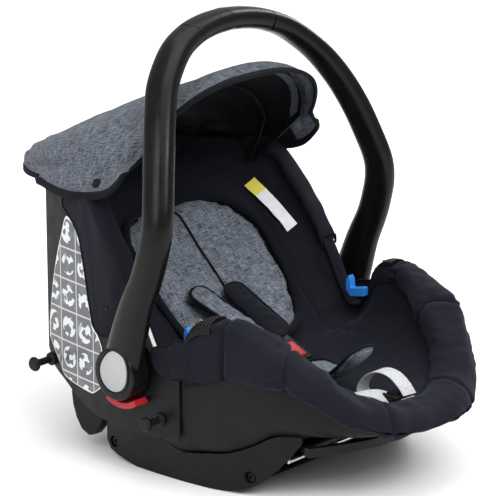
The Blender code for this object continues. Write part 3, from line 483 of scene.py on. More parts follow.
def melange(name, dark, light, turn=(0, 0, 0)):
    """Heather cloth: threads of two tones with slubs along both thread directions."""
    made, tree, shader = start_material(name, dark, 0.9, Sheen_Weight=0.05, Sheen_Roughness=0.5,
                                        Specular_IOR_Level=0.12)
    along, across = (noise_at(tree, coordinates(tree, "UV", scale, turn), 1.0, 3.0, 0.65)
                     for scale in ((70, 760, 70), (760, 70, 70)))
    vector = coordinates(tree, "UV", turn=turn)
    patchy = noise_at(tree, vector, 22.0, 3.0)
    both = plus(tree, times(tree, along, 0.5), times(tree, across, 0.5))
    both = plus(tree, both, times(tree, math_node(tree, "SUBTRACT", patchy, 0.5), 0.10))
    share = ramp(tree, both, 0.40, 0.61)
    tint(tree, shader, share, dark, light)
    height = plus(tree, weave_height(tree, vector, MELANGE_THREAD), times(tree, share, 0.7))
    bump(tree, shader, height, 0.0004, 0.6)
    return made


def plastic(name, dark, light, rough_low, rough_high, grain=900.0, depth=0.00003, coat=0.0,
            specular=0.5):
    """Moulded plastic: fine spark-eroded grain, with faint handling marks in the gloss."""
    made, tree, shader = start_material(name, dark, rough_low, Specular_IOR_Level=specular,
                                        Coat_Weight=coat)
    vector = coordinates(tree, "Object")
    tint(tree, shader, ramp(tree, noise_at(tree, vector, 14.0, 3.0), 0.3, 0.7), dark, light)
    marks = noise_at(tree, vector, 55.0, 4.0, 0.6)
    tree.links.new(ramp(tree, marks, 0.35, 0.65, rough_low, rough_high), shader.inputs["Roughness"])
    bump(tree, shader, noise_at(tree, vector, grain), depth, 0.5)
    return made


def metal(name, colour):
    """Drawn metal with fine lines along X."""
    made, tree, shader = start_material(name, colour, 0.25, Metallic=1.0)
    lines = noise_at(tree, coordinates(tree, "Object", (40, 900, 900)), 1.0, 3.0)
    tree.links.new(ramp(tree, lines, 0.0, 1.0, 0.16, 0.36), shader.inputs["Roughness"])
    bump(tree, shader, lines, 0.00003, 0.4)
    return made


def webbing_material(name, dark, light):
    """Strap webbing: ribs along and across the strap."""
    made, tree, shader = start_material(name, dark, 0.75, Sheen_Weight=0.2)
    vector = coordinates(tree, "UV")
    parts = add(tree, "ShaderNodeSeparateXYZ", None, Vector=vector)
    ribs, cross = (math_node(tree, "SINE", times(tree, parts.outputs[axis], TAU / pitch))
                   for axis, pitch in enumerate(RIB_PITCHES))
    tint(tree, shader, ramp(tree, noise_at(tree, vector, 260.0), 0.3, 0.7), dark, light)
    bump(tree, shader, times(tree, ribs, cross), 0.0003, 0.7)
    return made


def bead_foam(name):
    """White bead foam: pale cells with slightly darker, sunken joints."""
    made, tree, shader = start_material(name, (0.85, 0.85, 0.84), 0.8)
    cells = add(tree, "ShaderNodeTexVoronoi", {"feature": "DISTANCE_TO_EDGE"},
                Vector=coordinates(tree, "Object"), Scale=260.0).outputs[0]
    tint(tree, shader, ramp(tree, cells, 0.0, 0.12), (0.66, 0.66, 0.65), (0.87, 0.87, 0.86))
    bump(tree, shader, ramp(tree, cells, 0.0, 0.25), 0.0004, 0.6)
    return made


MELANGE_THREAD = 0.0012
RIB_PITCHES = (0.0016, 0.0024)
NAVY = woven("navy_cloth", (0.0042, 0.0045, 0.0080), (0.0080, 0.0085, 0.0145), sheen=0.07)
NAVY_DEEP = woven("navy_cloth_binding", (0.0020, 0.0022, 0.0042), (0.0042, 0.0046, 0.0082),
                  sheen=0.04, thread=0.0009)
GREY = melange("grey_melange", (0.020, 0.025, 0.036), (0.245, 0.272, 0.325))
GREY_TOP = melange("grey_melange_canopy", (0.011, 0.014, 0.021), (0.180, 0.200, 0.239))
# Darker copy of the grey heather for the underside of the visor: painted shade under the visor.
GREY_PAINTED_SHADE = melange("grey_melange_painted_shade", (0.020, 0.024, 0.033), (0.170, 0.190, 0.230))
GREY_PAD = melange("grey_melange_pad", (0.024, 0.030, 0.042), (0.215, 0.240, 0.288),
                   turn=(0, 0, 0.12))
LINING = woven("black_lining", (0.0030, 0.0030, 0.0040), (0.0062, 0.0062, 0.0080), sheen=0.03,
               thread=0.0008, rough=0.8)
WEBBING = webbing_material("black_webbing", (0.006, 0.006, 0.007), (0.015, 0.015, 0.018))
WHITE_WEB = webbing_material("white_webbing", (0.40, 0.41, 0.43), (0.56, 0.57, 0.58))
SHELL = plastic("shell_plastic_grain", (0.0036, 0.0035, 0.0039), (0.0060, 0.0058, 0.0064),
                0.40, 0.54, specular=0.18)
HANDLE = plastic("handle_plastic_satin", (0.0030, 0.0027, 0.0025), (0.0048, 0.0043, 0.0040),
                 0.24, 0.33, grain=1300.0, depth=0.000012, specular=0.18)
TRIM = plastic("trim_plastic_matt", (0.0028, 0.0028, 0.0031), (0.0050, 0.0050, 0.0055),
               0.40, 0.56, specular=0.2)
RED = plastic("red_plastic_gloss", (0.330, 0.010, 0.014), (0.430, 0.018, 0.022),
              0.30, 0.42, specular=0.3)
BLUE = plastic("blue_plastic_gloss", (0.020, 0.190, 0.640), (0.030, 0.250, 0.760),
               0.28, 0.40, coat=0.15)
SILVER = plastic("silver_badge", (0.300, 0.305, 0.315), (0.420, 0.425, 0.435), 0.30, 0.42, coat=0.2)
STEEL = metal("bright_steel", (0.62, 0.62, 0.63))
FOAM = bead_foam("white_bead_foam")


# ---------------------------------------------------------------- hard parts

WELD_DISTANCE = 0.00002
FLAT_ANGLE = 0.6  # degrees below which neighbouring faces are joined into one
EDGE_ANGLE = 32  # degrees above which an edge is rounded


def polished(node, finish, body="seat", width=0.0008, segments=2):
    """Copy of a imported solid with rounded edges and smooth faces, in a detailed finish."""
    bm = bmesh.new()
    bm.from_mesh(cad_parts[node].data)
    bmesh.ops.remove_doubles(bm, verts=bm.verts, dist=WELD_DISTANCE)
    bmesh.ops.dissolve_limit(bm, angle_limit=math.radians(FLAT_ANGLE), verts=bm.verts,
                             edges=bm.edges)
    bmesh.ops.recalc_face_normals(bm, faces=bm.faces)
    mesh = bpy.data.meshes.new(node + "_form")
    bm.to_mesh(mesh)
    bm.free()
    obj = link(node + "_form", mesh)
    mesh.shade_smooth()
    if width:
        made = obj.modifiers.new("edges", "BEVEL")
        made.width = width
        made.segments = segments
        made.limit_method = "ANGLE"
        made.angle_limit = math.radians(EDGE_ANGLE)
        made.harden_normals = True
    mesh.set_sharp_from_angle(angle=math.radians(EDGE_ANGLE))
    return dress(obj, finish, body, nodes=[node])


LOWEST_SURFACE = 0.060
ASIDES = (0.00037, -0.00041, 0.0013, -0.0017)  # steps off a point, so that a ray misses no seam


def surface_tree(obj):
    """Ray-cast tree of an object's own mesh, in the row frame."""
    mesh = obj.data
    points = [v.co.copy() for v in mesh.vertices]
    return BVHTree.FromPolygons(points, [tuple(p.vertices) for p in mesh.polygons])


def height_on(tree, x, y, default=0.0):
    """Height of the surface above the seat's own plan point (x, y)."""
    for aside in ASIDES:
        start = Vector((x + aside, y + ROOT_Y + aside / 3, 1.0))
        hit = tree.ray_cast(start, Vector((0, 0, -1)))[0]
        if hit and hit.z > LOWEST_SURFACE:
            return hit.z
    return default


def nearest_on(tree, point):
    """Nearest surface point and its normal for a point in the seat's own coordinates."""
    found, normal = tree.find_nearest(Vector((point[0], point[1] + ROOT_Y, point[2])))[:2]
    return np.array([found.x, found.y - ROOT_Y, found.z]), np.array(normal)


def bowl_column(inset, power, floor, floor_lift, rim_lift, angle, shares):
    """Points of a bowl skin from its middle to its rim at one plan angle."""
    px, py = plan_point(angle, inset)
    out = []
    for s in shares:
        share = 1 - (1 - min(s, 1.0) ** power) ** (1 / power)
        x, y = s * px, CENTRE_Y + s * (py - CENTRE_Y)
        low = curve_value(floor, y) + floor_lift
        out.append((x, y, low * (1 - share) + (curve_value(RIM, py) + rim_lift) * share))
    return out


def even_angles(count):
    """Plan angles whose points lie at even distances along the rim."""
    fine = np.linspace(0, TAU, OUTLINE_STEPS, endpoint=False)
    pts = np.array([(x, y, curve_value(RIM, y)) for x, y in map(plan_point, fine)])
    at = run_along(np.vstack([pts, pts[:1]]))
    want = np.linspace(0, at[-1], count + 1)[:-1]
    return np.interp(want, at, np.concatenate([fine, [TAU]]))


OUTLINE_STEPS = 1440
FIRST_SHARE = 0.03
MIDDLE_STEPS = 4
# Each skin: inset from the plan outline, squareness, floor curve, lifts at the floor and the rim.
SHELL_SKINS = (0.0, 6.0, SHELL_FLOOR, 0.0, -0.004), (0.004, 6.0, SHELL_FLOOR, 0.004, -0.004)
FOAM_SKINS = (0.0058, 3.4, SEAT, -0.0140, -0.006), (0.0115, 3.0, SEAT, -0.0080, -0.006)
COVER_SKINS = (COVER_OUT, 3.0, SEAT, -0.0065, -0.004), (COVER_IN, 2.6, SEAT, 0.0, -0.002)


def bowl_shares(power, steps):
    """Shares of the way from a bowl's middle to its rim, closest together at the rim."""
    phi = np.linspace(0.02, 1, steps) ** 0.8 * math.pi / 2
    shares = np.sin(phi) ** (2 / power)
    middle = np.linspace(FIRST_SHARE, shares[0], MIDDLE_STEPS, endpoint=False)
    return np.concatenate([middle, shares])


def bowl_grid(outer, inner, angles, steps, round_rim):
    """Wall between two bowl skins, with a rounded rim. Rows go round the plan."""
    grid = []
    for angle in angles:
        low = bowl_column(*outer, angle, bowl_shares(outer[1], steps))
        high = bowl_column(*inner, angle, bowl_shares(inner[1], steps))
        a, b = np.array(low[-1]), np.array(high[-1])
        crest = (a + b) / 2 + np.array([0, 0, round_rim])
        rim = [end * 0.75 + crest * 0.25 + [0, 0, round_rim * 0.55] for end in (a, b)]
        grid.append(low + [rim[0], crest, rim[1]] + high[::-1])
    return np.array(grid, float)


def make_shell():
    """Moulded bucket with a rounded rim."""
    grid = bowl_grid(*SHELL_SKINS, even_angles(220), 30, 0.001)
    obj = grid_object("bucket_shell", grid, poles=True, angle=50)
    dress(obj, SHELL, nodes=["seat_shell"])


def make_foam():
    """Bead foam liner between the shell and the cover."""
    grid = bowl_grid(*FOAM_SKINS, even_angles(120), 16, 0.0008)
    obj = grid_object("bead_foam_liner", grid, poles=True)
    dress(obj, FOAM, nodes=["foam_liner"])


COVER_SEAM_X = 0.126


def make_cover():
    """Padded cloth lining of the bucket, with wrinkles and two long seams up the backrest."""
    steps = 44
    grid = bowl_grid(*COVER_SKINS, even_angles(260), steps, 0.0025)
    rim = steps + MIDDLE_STEPS
    top = np.zeros(grid.shape[1])
    top[rim + 3:] = 1.0
    top[rim:rim + 3] = 0.2
    share = np.zeros(grid.shape[1])
    phi = np.linspace(0.02, 1, steps)
    share[rim + 3:rim + 3 + steps] = (np.sin(math.pi * phi ** 1.3))[::-1]
    n = grid_normals(grid, True)
    n = n * np.where(n[:, -8:-7, 2:3] < 0, -1.0, 1.0)
    x, y, z = grid[..., 0], grid[..., 1], grid[..., 2]
    folds = field(grid, 11, 0.085, (0.8, 1.3, 1.0)) * 0.0016
    folds += np.abs(field(grid, 12, 0.055, (0.35, 1.2, 1.2))) ** 1.5 * 0.0018
    notch = gather(y, -0.035, 0.045) * smooth01((np.abs(x) - 0.085) / 0.05)
    folds += notch * np.sin(y * 290 + x * 60) * 0.0018
    seam_x = COVER_SEAM_X * (1 - 0.25 * smooth01((y - 0.10) / 0.16))
    backrest = smooth01((y + 0.10) / 0.05)
    seam = gather(np.abs(x), seam_x, 0.0035) * backrest
    pucker = gather(np.abs(x), seam_x, 0.016) * backrest
    folds += pucker * (0.0022 + 0.0006 * np.sin((y + z) * 420)) - seam * 0.0045
    grid = grid + n * (folds * share * top)[..., None]
    obj = grid_object("seat_cover_cloth", grid, poles=True)
    dress(obj, NAVY, nodes=["seat_cover"])
    return surface_tree(obj)


# ---------------------------------------------------------------- rim covers

FOOT_COVER_LOW = ((-0.310, 0.083), (-0.275, 0.088), (-0.250, 0.102), (-0.227, 0.122),
                  (-0.195, 0.146), (-0.150, 0.152), (-0.112, 0.150), (-0.080, 0.139),
                  (-0.058, 0.131))
FOOT_REACH = 0.0255
ARM_REACH = 0.0080
FOOT_BACK_Y = -0.0600
FOOT_SEAMS = (-0.115, -0.190)  # y of the seams across each flank
TOE_SEAM = 0.066  # run from the middle of the foot end to the seam on each side of it
FOOT_ROWS = 230


def outline_between(back_y, count):
    """Plan points and outward normals from the right flank round the foot end to the left flank."""
    fine = np.linspace(-math.pi / 2, 0.0, 900)
    half = [(x, y) for x, y in map(plan_point, fine) if y <= back_y]
    line = resample(half[::-1] + [(-x, y) for x, y in half[1:]], count)
    along = unit(np.gradient(line, axis=0))
    normal = np.stack([-along[:, 1], along[:, 0]], axis=1)
    return line, facing(normal, line - np.array([0, CENTRE_Y]))


def make_foot_cover(cover_tree):
    """Padded cloth that runs from one armrest round the foot end to the other, in sewn panels."""
    line, normal = outline_between(FOOT_BACK_Y, FOOT_ROWS)
    grid = []
    for (px, py), (nx, ny) in zip(line, normal):
        rim = curve_value(RIM, py) + RIM_LIFT
        roll = float(smooth01((-0.118 - py) / 0.060))
        reach = ARM_REACH + (FOOT_REACH - ARM_REACH) * roll
        low = curve_value(FOOT_COVER_LOW, py)
        inside = -COVER_IN - 0.0015
        deep = 0.004 + 0.015 * roll
        crown = 0.0085 + 0.0065 * roll
        skin = 0.0046 + GAP
        inner_low = rim - 0.016 - 0.008 * roll
        body = catmull([(skin, low), (reach * 0.80 + 0.001, low + 0.002),
                        (reach, low + (rim - low) * 0.40), (reach * 0.97, rim - 0.010),
                        (reach * 0.62, rim + crown * 0.50), (-0.004, rim + crown * 0.95),
                        (-0.014, rim + crown), (inside - deep * 0.30, rim + crown * 0.72),
                        (inside - deep * 0.60, rim - 0.006), (inside - deep * 0.30, inner_low)],
                       4, False)
        back = np.array([(inside, inner_low + 0.002), (inside, rim), (skin, rim)])
        ring = []
        for d, z in np.vstack([body, back]):
            x, y = px + nx * d, py + ny * d
            if d < -COVER_IN:
                z = max(z, height_on(cover_tree, x, y) + 0.0025)
            ring.append((x, y, z))
        grid.append(ring)
    grid = np.array(grid)
    n = facing(grid_normals(grid, True), grid - grid.mean(axis=1, keepdims=True))
    run = run_along(line)
    half_run = np.abs(run - run[-1] / 2)[:, None]
    share = np.zeros(grid.shape[1])
    share[:37] = 1.0
    share[:4] = np.linspace(0.1, 0.8, 4)
    lump = field(grid, 21, 0.060) * 0.0016
    lump = lump + np.abs(field(grid, 22, 0.030, (0.7, 0.7, 1.6))) ** 1.4 * 0.0011
    for seam_y in FOOT_SEAMS:
        away = half_run - half_run[np.argmin(np.abs(line[:FOOT_ROWS // 2, 1] - seam_y))][0]
        lump = lump - gather(away, 0, 0.0030) * 0.0060 + gather(away, 0, 0.018) * 0.0022
        waves = np.sin(grid[..., 2] * 560 + seam_y * 90)
        lump = lump + gather(away, 0.009, 0.011) * waves * 0.0016
    lump = lump - gather(half_run, TOE_SEAM, 0.0030) * 0.0054
    lump = lump + gather(half_run, TOE_SEAM, 0.018) * 0.0022
    grid = grid + n * (lump * share[None, :])[..., None]
    obj = grid_object("foot_end_cover", grid)
    nodes = ["foot_bolster", "arm_cover_left", "arm_cover_right"]
    dress(obj, NAVY, nodes=nodes)
    outward = np.column_stack([normal, np.zeros(FOOT_ROWS)])
    edge = grid[:, 0] + np.array([0, 0, -0.0006]) + outward * 0.0012
    bind("foot_cover_binding", edge, 0.0021, flatten=1.3)


WING_LOW = ((0.022, 0.226), (0.0386, 0.2105), (0.0518, 0.1819), (0.062, 0.1690), (0.074, 0.1650),
            (0.085, 0.1680), (0.0925, 0.1790), (0.0982, 0.1988), (0.1073, 0.2412), (0.1186, 0.2829),
            (0.142, 0.3061), (0.1667, 0.3197), (0.172, 0.3215))
WING_START, WING_END, WING_THICK = 0.022, 0.150, 0.0012


def make_wing_flap(side, cover_tree):
    """Cloth flap over the front edge of a side wing, bound round its hem."""
    word = side_word(side)
    thick = WING_THICK
    rows = []
    for y in np.linspace(WING_START, WING_END, 120):
        nx, ny = plan_normal(y)
        x = plan_x(y)
        rim = curve_value(RIM, y) + RIM_LIFT
        inside = -COVER_IN - 0.0020
        reach = PANEL_OUT + GAP + flare(y)
        low = curve_value(WING_LOW, y)
        crown = 0.0070 - 0.0050 * float(smooth01((y - 0.125) / 0.025))
        outer = [(reach + thick, low), (reach + thick + 0.0006, low * 0.5 + rim * 0.5),
                 (reach + thick, rim - 0.006), (reach - 0.001, rim + crown * 0.72),
                 (-0.006, rim + crown), (inside + 0.002, rim + crown * 0.85),
                 (inside - thick - 0.001, rim + crown * 0.30), (inside - thick, rim - 0.008)]
        under = [(inside, rim - 0.007), (inside, rim), (reach, rim), (reach, low)]
        ring = []
        for d, z in np.vstack([catmull(outer, 5, False), np.array(under)]):
            px, py = x + nx * d, y + ny * d
            if d < -COVER_IN:
                z = max(z, height_on(cover_tree, px, py) + 0.0020)
            ring.append((side * px, py, z))
        rows.append(ring)
    grid = np.array(rows)
    n = facing(grid_normals(grid, True), grid - grid.mean(axis=1, keepdims=True))
    share = np.zeros(grid.shape[1])
    share[1:34] = 1.0
    y, z = grid[..., 1], grid[..., 2]
    fold = field(grid, 31 + side, 0.05, (1, 1.4, 0.7)) * 0.0007 + 0.0006
    fold = fold + gather(y - 0.35 * (z - 0.25), 0.060, 0.012) * 0.0012
    fold = fold * (1 - smooth01((y - 0.105) / 0.020))
    grid = grid + n * (np.clip(fold, 0, None) * share[None, :])[..., None]
    obj = grid_object("wing_flap" + word, grid)
    dress(obj, NAVY, nodes=["wing_cover" + word])
    hem = np.vstack([grid[0, 24:0:-1], grid[:, 0], grid[-1, 1:25]])
    bind("wing_flap" + word + "_binding", resample(hem, 170), 0.0015, up=(side, 0, 0))


# ---------------------------------------------------------------- canopy

ARCHES = ((0.035, 0.385, 0.1500, -0.014, 0.4720), (0.058, 0.366, 0.1580, 0.016, 0.4785),
          (0.090, 0.353, 0.1640, 0.062, 0.4660), (0.125, 0.350, 0.1650, 0.118, 0.4410),
          (0.160, 0.350, 0.1600, 0.185, 0.4140), (0.188, 0.348, 0.1530, 0.248, 0.3870),
          (0.204, 0.347, 0.1465, 0.292, 0.3640), (0.209, 0.343, 0.1450, 0.3110, 0.3490),
          (0.211, 0.3290, 0.1455, 0.3115, 0.3290))
CANOPY_HEM = ((0.035, 0.378), (0.052, 0.355), (0.070, 0.340), (0.095, 0.3315), (0.125, 0.3270),
              (0.155, 0.3250), (0.180, 0.3265), (0.196, 0.3285), (0.211, 0.3290))
ARCH_POWER = 2.4
CANOPY_SKIN = 0.0016
VISOR_ROWS = 15
HOOP_STEPS = 80
SKIRT_MOST_X = 0.1805


def arch_point(arch, angle):
    """Point of a hoop at an angle. An arch is (base y, base z, half width, top y, top z)."""
    base_y, base_z, half, top_y, top_z = arch
    c, s = math.cos(angle), math.sin(angle)
    run = math.hypot(top_y - base_y, top_z - base_z)
    dy, dz = (top_y - base_y) / run, (top_z - base_z) / run
    x = half * math.copysign(abs(c) ** (2 / ARCH_POWER), c)
    rise = run * abs(s) ** (2 / ARCH_POWER)
    return x, base_y + dy * rise, base_z + dz * rise


def canopy_line(arch, count):
    """One hoop of the canopy's cloth from hem to hem, with its side skirts outside the wings."""
    hoop = [arch_point(arch, math.pi * i / HOOP_STEPS) for i in range(HOOP_STEPS + 1)]
    base_y, base_z = arch[:2]
    drop = max(0.0, base_z - curve_value(CANOPY_HEM, base_y))
    if drop > 0.0005:
        x0 = hoop[0][0]
        skirt_x = min(SKIRT_MOST_X, panel_x(base_y) + 0.0046)
        out = max(0.0, skirt_x - x0) * min(1.0, drop / 0.012)
        right = [(x0 + out * a, base_y, base_z - drop * b)
                 for a, b in ((1, 1), (0.96, 0.62), (0.66, 0.20))]
        hoop = right + hoop[2:-2] + [(-x, y, z) for x, y, z in reversed(right)]
    return resample(hoop, count)


def make_canopy():
    """The canopy as one curved sheet: heather cloth outside, black lining inside."""
    cols = 121
    grid = np.array([canopy_line(arch, cols) for arch in catmull(ARCHES, 9, False)])
    n = facing(grid_normals(grid, False), grid - np.array([0, CANOPY_Y, CANOPY_Z]))
    rows = grid.shape[0]
    v = np.linspace(0, 1, rows)[:, None]
    across = np.abs(np.linspace(-1, 1, cols))[None, :]
    slack = 1 - across ** 4
    sag = -0.0045 * gather(v, 0.27, 0.10) * slack - 0.0050 * gather(v, 0.62, 0.16) * slack
    ridge = 0.0022 * gather(v, 0.145, 0.020) + 0.0020 * gather(v, 0.395, 0.020)
    crease = field(grid, 41, 0.075, (0.5, 1.5, 1.0)) * 0.0013
    side_crease = np.abs(field(grid, 42, 0.045, (0.9, 0.9, 0.5))) ** 2 * 0.0011
    crease += side_crease * smooth01((across - 0.55) / 0.25)
    rear = 0.0016 * np.sin(np.linspace(0, 74, cols))[None, :] * gather(v, 0.84, 0.06)
    edge = smooth01(v / 0.07) * smooth01((1 - across) / 0.12) * smooth01((1 - v) / 0.12)
    grid = grid + n * ((sag + ridge + crease + rear) * edge)[..., None]
    obj = two_sided("canopy_cloth", grid, grid - n * CANOPY_SKIN, run_uv(grid))
    for finish in (GREY_TOP, LINING, GREY_PAINTED_SHADE):
        obj.data.materials.append(finish)
    spans = (rows - 1) * (cols - 1)
    finishes = np.zeros(len(obj.data.polygons), np.int32)
    # The visor's rows on the inner face get the darker grey, which is painted shade under the visor;
    # the other inner faces get the black lining.
    finishes[1:2 * spans:2] = np.where(np.arange(spans) // (cols - 1) < VISOR_ROWS, 2, 1)
    obj.data.polygons.foreach_set("material_index", finishes)
    return obj, grid, n


def band(name, line, normal, inner_to, width, thick):
    """Flat folded tape along a closed hem, as wide as this towards inner_to and over both faces."""
    inward = inner_to - line
    inward = unit(inward - normal * (inward * normal).sum(axis=1, keepdims=True))
    cu, cv = squared_ring(np.arange(12) * TAU / 12, 0.6, 0.6)
    grid = swept(line, inward, normal, width / 2 * (1 + cu) - 0.0006, thick / 2 * cv)
    return grid_object(name, grid, ring=True)


def dress_canopy():
    """Canopy cloth and its hem tape, from the rear hem to the front bow."""
    obj, grid, n = make_canopy()
    hem, hem_normal = (np.vstack([a[0, ::-1], a[1:, 0], a[-1, 1:], a[-2:0:-1, -1]])
                       for a in (grid, n))
    inner_line = np.vstack([grid[4, ::-1], grid[1:, 6], grid[-5, 1:], grid[-2:0:-1, -7]])
    hem = hem - hem_normal * CANOPY_SKIN / 2
    tape = band("canopy_binding", hem, hem_normal, inner_line, 0.0105, 0.0052)
    tape.data.materials.append(NAVY_DEEP)
    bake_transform(obj)
    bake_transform(tape)
    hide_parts("canopy")
    return grid, n


# ---------------------------------------------------------------- padding

PUFF_FRAMES = 20
PUFF_SETTINGS = {"quality": 5, "mass": 0.3, "tension_stiffness": 15, "compression_stiffness": 15,
                 "shear_stiffness": 5, "bending_stiffness": 0.5, "use_pressure": True,
                 "uniform_pressure_force": 3.0}


def applied(obj):
    """The object's mesh with its modifiers applied, which are then taken off it."""
    graph = bpy.context.evaluated_depsgraph_get()
    mesh = bpy.data.meshes.new_from_object(obj.evaluated_get(graph))
    obj.modifiers.clear()
    return mesh


def puff(obj, voxel, cap):
    """Swells a closed piece with Blender's cloth. No point moves further than cap."""
    remesh = obj.modifiers.new("voxels", "REMESH")
    remesh.mode = "VOXEL"
    remesh.voxel_size = voxel
    mesh = applied(obj)
    obj.data = mesh
    start = read_points(mesh)
    cloth = obj.modifiers.new("puff", "CLOTH")
    for key, value in PUFF_SETTINGS.items():
        setattr(cloth.settings, key, value)
    cloth.settings.effector_weights.gravity = 0.0
    cloth.collision_settings.use_collision = False
    cloth.point_cache.frame_start = 1
    cloth.point_cache.frame_end = PUFF_FRAMES
    for number in range(1, PUFF_FRAMES + 1):
        bpy.context.scene.frame_set(number)
    step = read_points(applied(obj)) - start
    length = np.linalg.norm(step, axis=1, keepdims=True)
    step *= np.minimum(1.0, cap / np.maximum(length, 1e-9))
    mesh.vertices.foreach_set("co", (start + step).astype(np.float32).ravel())
    bpy.context.scene.frame_set(1)
    mesh.shade_smooth()


def shape_points(obj, change):
    """Moves an object's points by change(points, normals), in the seat's own coordinates."""
    mesh = obj.data
    pts = read_points(mesh)
    pts[:, 1] -= ROOT_Y
    pts = change(pts, read_points(mesh, "normal"))
    pts[:, 1] += ROOT_Y
    mesh.vertices.foreach_set("co", pts.astype(np.float32).ravel())
    mesh.update()


def soften(obj, voxel, cap, change, weave, finish, node):
    """Swells and shapes a pad, and gives it its weave's two directions, finish and CAD node."""
    puff(obj, voxel, cap)
    shape_points(obj, change)
    write_uv(obj.data, "weave", read_points(obj.data) @ np.array(weave, float).T)
    smooth = obj.modifiers.new("smooth", "SUBSURF")
    smooth.levels = 1
    smooth.render_levels = 1
    dress(obj, finish, nodes=[node])


INSERT_LOW, INSERT_HIGH = -0.030, 0.150
INSERT_HALF, INSERT_POWER = 0.118, 2.7


def insert_half(y):
    """Half width of the body insert at y."""
    u = (2 * y - INSERT_LOW - INSERT_HIGH) / (INSERT_HIGH - INSERT_LOW)
    half = INSERT_HALF * max(0.0, 1 - abs(u) ** INSERT_POWER) ** (1 / INSERT_POWER)
    return half * (1 - 0.10 * float(smooth01((0.05 - y) / 0.08)))


def make_insert(cover_tree):
    """Body insert: a soft pad with two grey halves, piped down the middle and bound at its edge."""
    turn = np.cos(np.linspace(0.09, math.pi - 0.09, 44))
    ys = INSERT_LOW + (INSERT_HIGH - INSERT_LOW) * (0.5 - 0.5 * turn)
    rows = []
    for y in ys:
        end = min(1.0, min(y - INSERT_LOW, INSERT_HIGH - y) / 0.030) ** 0.5
        low, high = [], []
        for share in np.linspace(-1, 1, 41):
            x = (insert_half(y) - 0.0015) * share
            z = height_on(cover_tree, x, y) + 0.0015
            low.append((x, y, z))
            high.append((x, y, z + 0.0035 + 0.0120 * (1 - abs(share) ** 3.5) * end))
        rows.append(low + high[::-1])

    def change(p, n):
        x, y = p[:, 0], p[:, 1]
        groove = gather(x, 0, 0.004) * 0.0030 + gather(x, 0, 0.014) * 0.0016
        fold = field(p, 51, 0.060, (0.8, 1.2, 1.0)) * 0.0011
        waves = np.sin(y * 430 - np.abs(x) * 190 + 2.0 * field(p, 52, 0.09))
        fold += smooth01((0.045 - y) / 0.05) * waves * 0.0014
        return p + n * ((fold - groove) * np.clip(n[:, 2], 0, 1))[:, None]

    obj = grid_object("insert_pad", np.array(rows))
    soften(obj, 0.0045, 0.006, change, ((1, 0, 0), (0, 0.72, 0.69)), GREY, "body_insert")
    tree = surface_tree(obj)
    right = [(insert_half(y), y) for y in ys]
    edge = resample(np.array(right + [(-x, y) for x, y in reversed(right)]), 260, closed=True)
    line = []
    for spot in edge:
        out = unit(spot - np.array([0.0, (INSERT_LOW + INSERT_HIGH) / 2]))
        px, py = spot - out * 0.0022
        inner = height_on(tree, *(spot - out * 0.008), -1.0)
        line.append((px, py, max(height_on(cover_tree, px, py) + 0.0056, inner - 0.0012)))
    line = np.array(line)
    line[:, 2] = averaged(line[:, 2], 4, "wrap")
    bind("insert_binding", line, 0.0060, 12, closed=True, flatten=0.85)
    piping = []
    for y in np.linspace(INSERT_LOW + 0.004, INSERT_HIGH - 0.004, 90):
        under = height_on(cover_tree, 0.0, y) + 0.006
        piping.append((0.0, y, height_on(tree, 0.0, y, under) + 0.0017))
    piping = np.array(piping)
    piping[:, 2] = averaged(piping[:, 2], 3)
    bind("insert_piping", piping, 0.0017)
    return tree


def pad_frame(points):
    """Unit vectors along, across and above a path whose width lies level."""
    along = unit(np.gradient(points, axis=0))
    flat = unit(np.array([1.0, 0, 0]) - along * along[:, :1])
    up = np.cross(flat, along)
    return flat, up, up * np.where(up[:, 2:3] < 0, -1, 1)


def pad_grid(points, width, thick, fold=0.0, taper=0.012, twist=0.0):
    """Soft flat pad along a path, narrower and thinner at its ends. fold lifts its side edges."""
    run = run_along(points)
    flat, _bent, up = pad_frame(points)
    if twist:
        turn = (twist * run / run[-1])[:, None]
        flat, up = flat * np.cos(turn) + up * np.sin(turn), up * np.cos(turn) - flat * np.sin(turn)
    near_end = np.clip(np.minimum(run, run[-1] - run) / taper, 0.0, 1.0)
    narrow = np.sqrt(np.clip(1 - (1 - near_end) ** 2, 0.02, 1))[:, None]
    cu, cv = squared_ring(np.arange(PAD_AROUND) * TAU / PAD_AROUND, 0.62, 0.87)
    lift = fold * np.abs(cu) ** 1.5
    return swept(points, flat, up, narrow * cu * width / 2, narrow * cv * thick / 2 + lift[None, :])


def bind_pad(name, grid, count, radius):
    """Binding round the two side edges of a pad's grid."""
    ring = np.vstack([grid[:, 0], grid[::-1, PAD_AROUND // 2]])
    bind(name, resample(ring, count, closed=True), radius, closed=True)


def strap_grid(points, width, thick, turning=False):
    """Flat webbing along a path, with rounded edges. A turning strap keeps its face in bends."""
    flat, bent, up = pad_frame(points)
    u, v = np.array(STRAP_SECTION).T
    return swept(points, flat, bent if turning else up, u * width / 2, v * thick / 2)


PAD_WIDE, PAD_THICK = 0.038 * 0.90, 0.011 * 0.72
PAD_AROUND = 28
PAD_ENDS = {-1: ((-0.068, 0.036), (-0.033, -0.060, 0.1500)),
            1: ((-0.004, 0.034), (0.013, -0.046, 0.1450))}
STRAP_SECTION = ((-1, -0.5), (-0.96, -1), (-0.5, -1), (0, -1), (0.5, -1), (0.96, -1), (1, -0.5),
                 (1, 0.5), (0.96, 1), (0.5, 1), (0, 1), (-0.5, 1), (-0.96, 1), (-1, 0.5))
STRAP_TOPS = {-1: (-0.066, 0.074), 1: (-0.002, 0.072)}


